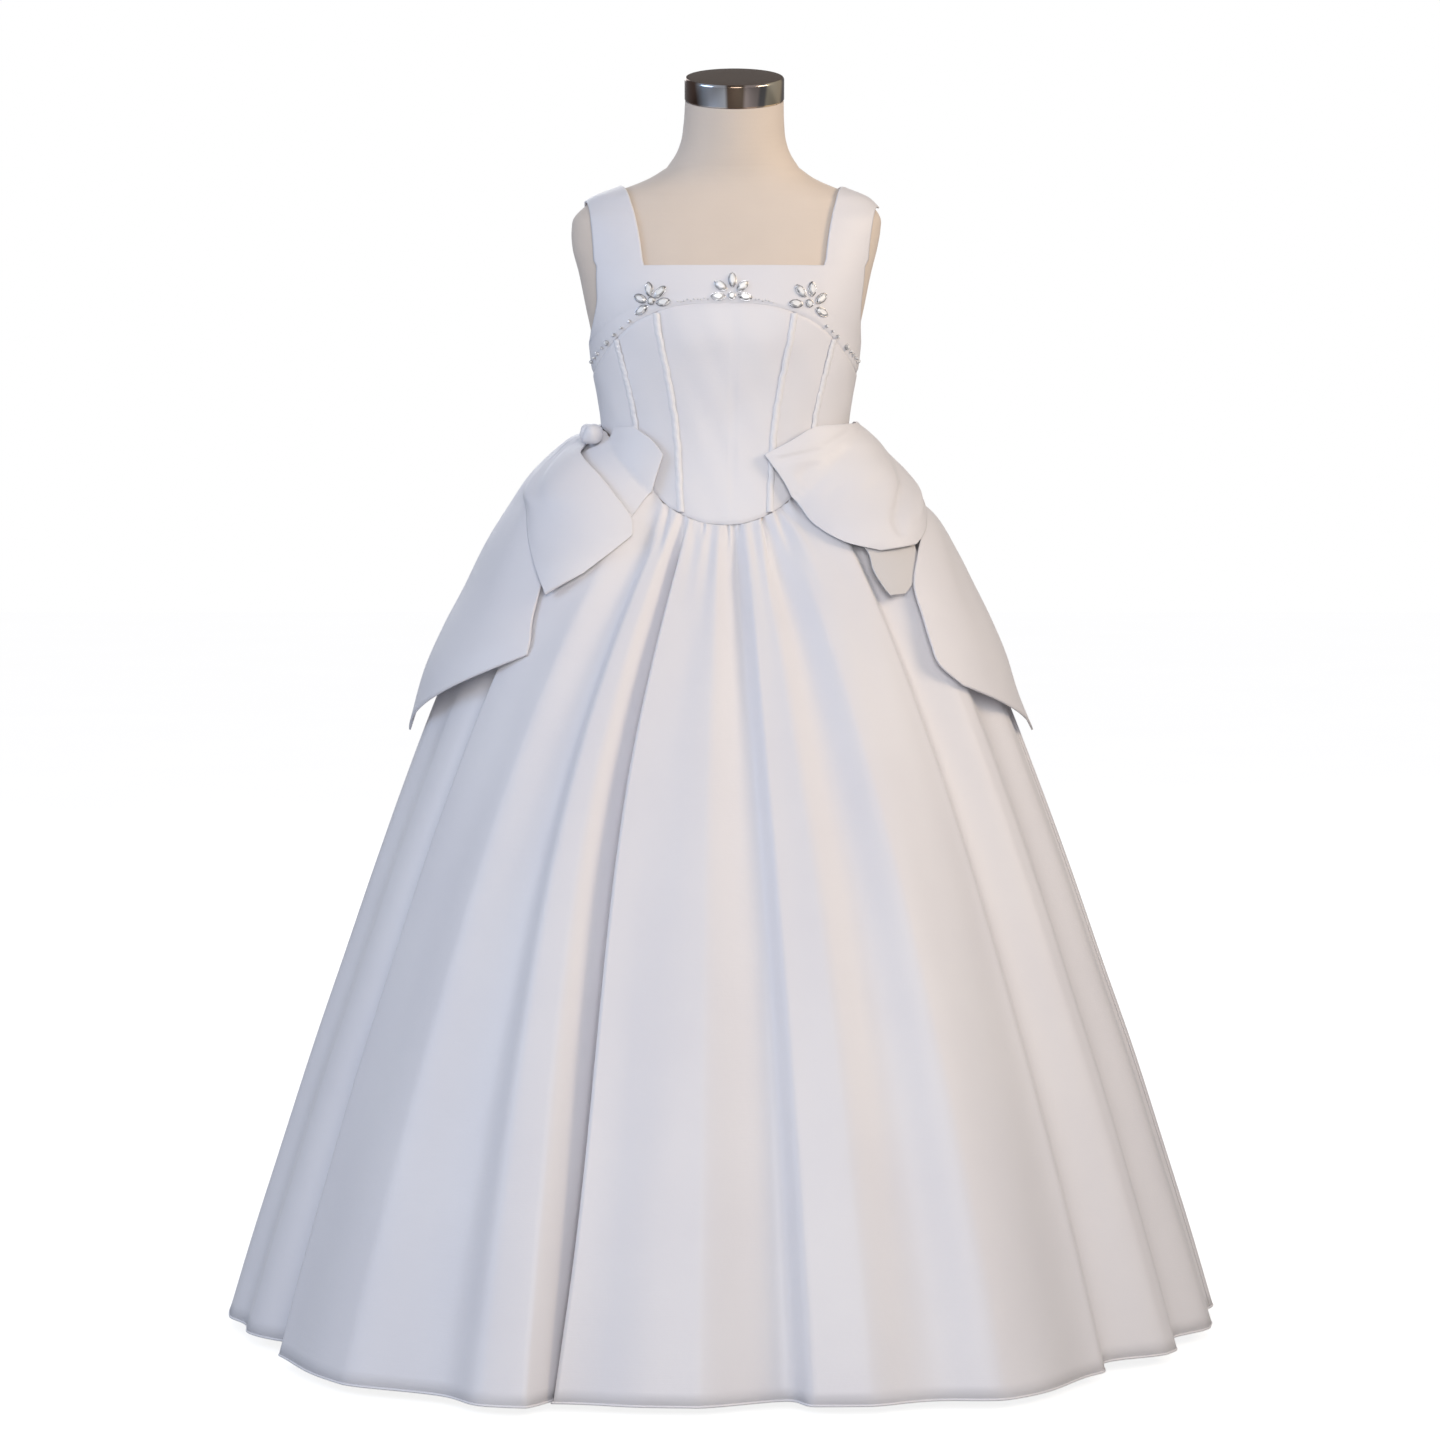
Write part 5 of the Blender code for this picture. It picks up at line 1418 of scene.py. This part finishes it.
BEAD_PITCH = 0.0030
BEAD_RADIUS = 0.0009
BEAD_RISE = 0.0034
BEAD_REACH = 30.0
BEAD_WANDER = 0.0007
BEAD_SEAT = 0.7  # height of a bead's middle over the cloth, as a share of its radius
BEAD_CLEARANCE = 0.6  # from the middle of a stone, as a share of the stone's length
BEAD_LINE_END = 88
BEAD_LINE_POINTS = 2400
GEM_RISE = 0.0042
GEM_SHAPE_POINTS = 8
# The darkest painted reflection tone that a small gem's facets get
GEM_PAINTED_DARKEST = 0.4

# Small gems down the sides of the yoke seam: distance from the middle plane, and radius
Gem = namedtuple("Gem", "x radius")
GEMS = [
    Gem(-0.0853, 0.0016),
    Gem(-0.0925, 0.0012),
    Gem(-0.0992, 0.0018),
    Gem(-0.1060, 0.0028),
    Gem(-0.1100, 0.0014),
    Gem(-0.1140, 0.0017),
    Gem(-0.1170, 0.0013),
    Gem(-0.1196, 0.0017),
    Gem(0.0906, 0.0016),
    Gem(0.0958, 0.0012),
    Gem(0.1006, 0.0018),
    Gem(0.1090, 0.0028),
    Gem(0.1125, 0.0015),
    Gem(0.1150, 0.0017),
    Gem(0.1172, 0.0013),
    Gem(0.1192, 0.0018),
]


def build_beads():
    """Seed beads along the middle of the curved seam, and small gems down its sides."""
    angles = np.linspace(-BEAD_LINE_END, BEAD_LINE_END, BEAD_LINE_POINTS)
    line = bodice_point(angles, yoke_seam(angles) + BEAD_RISE)
    run = np.concatenate([[0], np.cumsum(np.linalg.norm(np.diff(line, axis=0), axis=-1))])
    count = int(run[-1] / BEAD_PITCH)
    at = np.interp(np.linspace(0, run[-1], count), run, angles)
    heights = yoke_seam(at) + BEAD_RISE + BEAD_WANDER * np.sin(np.arange(count) * 2.4)
    clear = np.abs(at) < BEAD_REACH
    places = bodice_point(at, heights, BEAD_RADIUS * BEAD_SEAT)
    for stone in STONES + CENTRE_STONES:
        angle = angle_of_x(stone.x, stone.height)
        centre = bodice_point(angle, stone.height)
        clear &= np.linalg.norm(places - centre, axis=-1) > STONE_LENGTH * BEAD_CLEARANCE
    beads = joined_balls("seam_seed_beads", places[clear], BEAD_RADIUS, PEARL)
    finish_piece(beads)
    for number, gem in enumerate(GEMS, 1):
        angle = angle_of_x(gem.x, YOKE_SEAM_TOP - YOKE_SEAM_DROP / 2)
        stone = Stone(gem.x, float(yoke_seam(np.array(angle))) + GEM_RISE, 11 * number)
        outline = circle(GEM_SHAPE_POINTS, gem.radius)
        build_stone(f"seam_gem_{number:02d}", stone, outline, 80 + number, painted_darkest=GEM_PAINTED_DARKEST)


# Camera, light and floor

def build_camera():
    data = bpy.data.cameras.new("camera")
    data.lens = CAMERA_LENS
    data.sensor_width = CAMERA_SENSOR
    camera = bpy.data.objects.new("camera", data)
    drop = math.atan2(CAMERA_PLACE[2] - CAMERA_AIM_HEIGHT, -CAMERA_PLACE[1])
    camera.location = CAMERA_PLACE
    camera.rotation_euler = (math.pi / 2 - drop, 0, 0)
    bpy.context.scene.collection.objects.link(camera)
    bpy.context.scene.camera = camera


Lamp = namedtuple("Lamp", "name place aim size power colour spread")
LAMPS = [
    Lamp("key", (0.3, -4.7, 2.0), (0.0, 0.0, 0.7), 1.8, 97, (1.0, 0.985, 0.99), 180),
    Lamp("cool_side", (-3.2, -1.4, 1.9), (0.0, 0.0, 0.8), 1.8, 36, (0.52, 0.70, 1.0), 180),
    Lamp("warm_side", (2.7, -1.1, 2.1), (0.0, 0.0, 1.10), 1.3, 7.6, (1.0, 0.80, 0.58), 70),
    Lamp("back", (-1.0, 4.0, 2.6), (0.0, 0.0, 0.6), 2.6, 52, (0.97, 0.98, 1.0), 180),
]
WORLD_COLOUR = (0.97, 0.96, 1.0)
WORLD_STRENGTH = 0.30
BACKDROP_STRENGTH = 1.0
FLOOR_HALF_WIDTH = 12.0
FLOOR_GLOW = 0.86


def build_light():
    for lamp in LAMPS:
        data = bpy.data.lights.new(lamp.name, "AREA")
        data.shape = "SQUARE"
        data.size = lamp.size
        data.energy = lamp.power
        data.color = lamp.colour
        data.spread = math.radians(lamp.spread)
        item = bpy.data.objects.new(lamp.name, data)
        item.location = lamp.place
        towards = np.array(lamp.aim) - np.array(lamp.place)
        flat = math.hypot(towards[0], towards[1])
        item.rotation_euler = (
            math.atan2(flat, -towards[2]),
            0,
            math.atan2(towards[1], towards[0]) - math.pi / 2,
        )
        bpy.context.scene.collection.objects.link(item)
    world = bpy.data.worlds.new("studio")
    world.use_nodes = True
    tree = world.node_tree
    ambient = tree.nodes["Background"]
    ambient.inputs["Color"].default_value = (*WORLD_COLOUR, 1)
    ambient.inputs["Strength"].default_value = WORLD_STRENGTH
    backdrop = tree.nodes.new("ShaderNodeBackground")
    backdrop.inputs["Color"].default_value = (1, 1, 1, 1)
    backdrop.inputs["Strength"].default_value = BACKDROP_STRENGTH
    path = tree.nodes.new("ShaderNodeLightPath")
    mix = tree.nodes.new("ShaderNodeMixShader")
    tree.links.new(path.outputs["Is Camera Ray"], mix.inputs["Fac"])
    tree.links.new(ambient.outputs["Background"], mix.inputs[1])
    tree.links.new(backdrop.outputs["Background"], mix.inputs[2])
    tree.links.new(mix.outputs["Shader"], tree.nodes["World Output"].inputs["Surface"])
    bpy.context.scene.world = world
    bpy.context.scene.view_settings.view_transform = "Standard"


def build_floor():
    """A pale floor that meets the backdrop without a line."""
    material, tree, shader = new_material("pale_floor")
    shade = noise(tree, object_place(tree), scale=3.0)
    colour = colour_between(tree, shade, (0.44, 0.44, 0.44), (0.46, 0.46, 0.46))
    tree.links.new(colour, shader.inputs["Base Color"])
    set_values(shader, {"Roughness": 0.8, "Specular IOR Level": 0.0})
    glow = add_node(tree, "ShaderNodeEmission", Color=(1, 1, 1, 1), Strength=FLOOR_GLOW)
    seen = add_node(tree, "ShaderNodeLightPath").outputs["Is Camera Ray"]
    # The first side of the mix is left empty, so the glow is there for the camera alone
    lit = add_node(tree, "ShaderNodeMixShader", [("Fac", seen)])
    tree.links.new(glow.outputs["Emission"], lit.inputs[2])
    both = add_node(tree, "ShaderNodeAddShader")
    tree.links.new(shader.outputs["BSDF"], both.inputs[0])
    tree.links.new(lit.outputs["Shader"], both.inputs[1])
    tree.links.new(both.outputs["Shader"], tree.nodes["Material Output"].inputs["Surface"])
    size = FLOOR_HALF_WIDTH
    corners = [(-size, -size, 0), (size, -size, 0), (size, size, 0), (-size, size, 0)]
    floor = mesh_object("floor", corners, [(0, 1, 2, 3)], material, smooth=False)


build_camera()
build_light()
build_floor()
build_form()
build_stand()
build_bodice(build_piping())
build_yoke()
build_skirt()
build_bows()
build_knots()
build_stones()
build_beads()
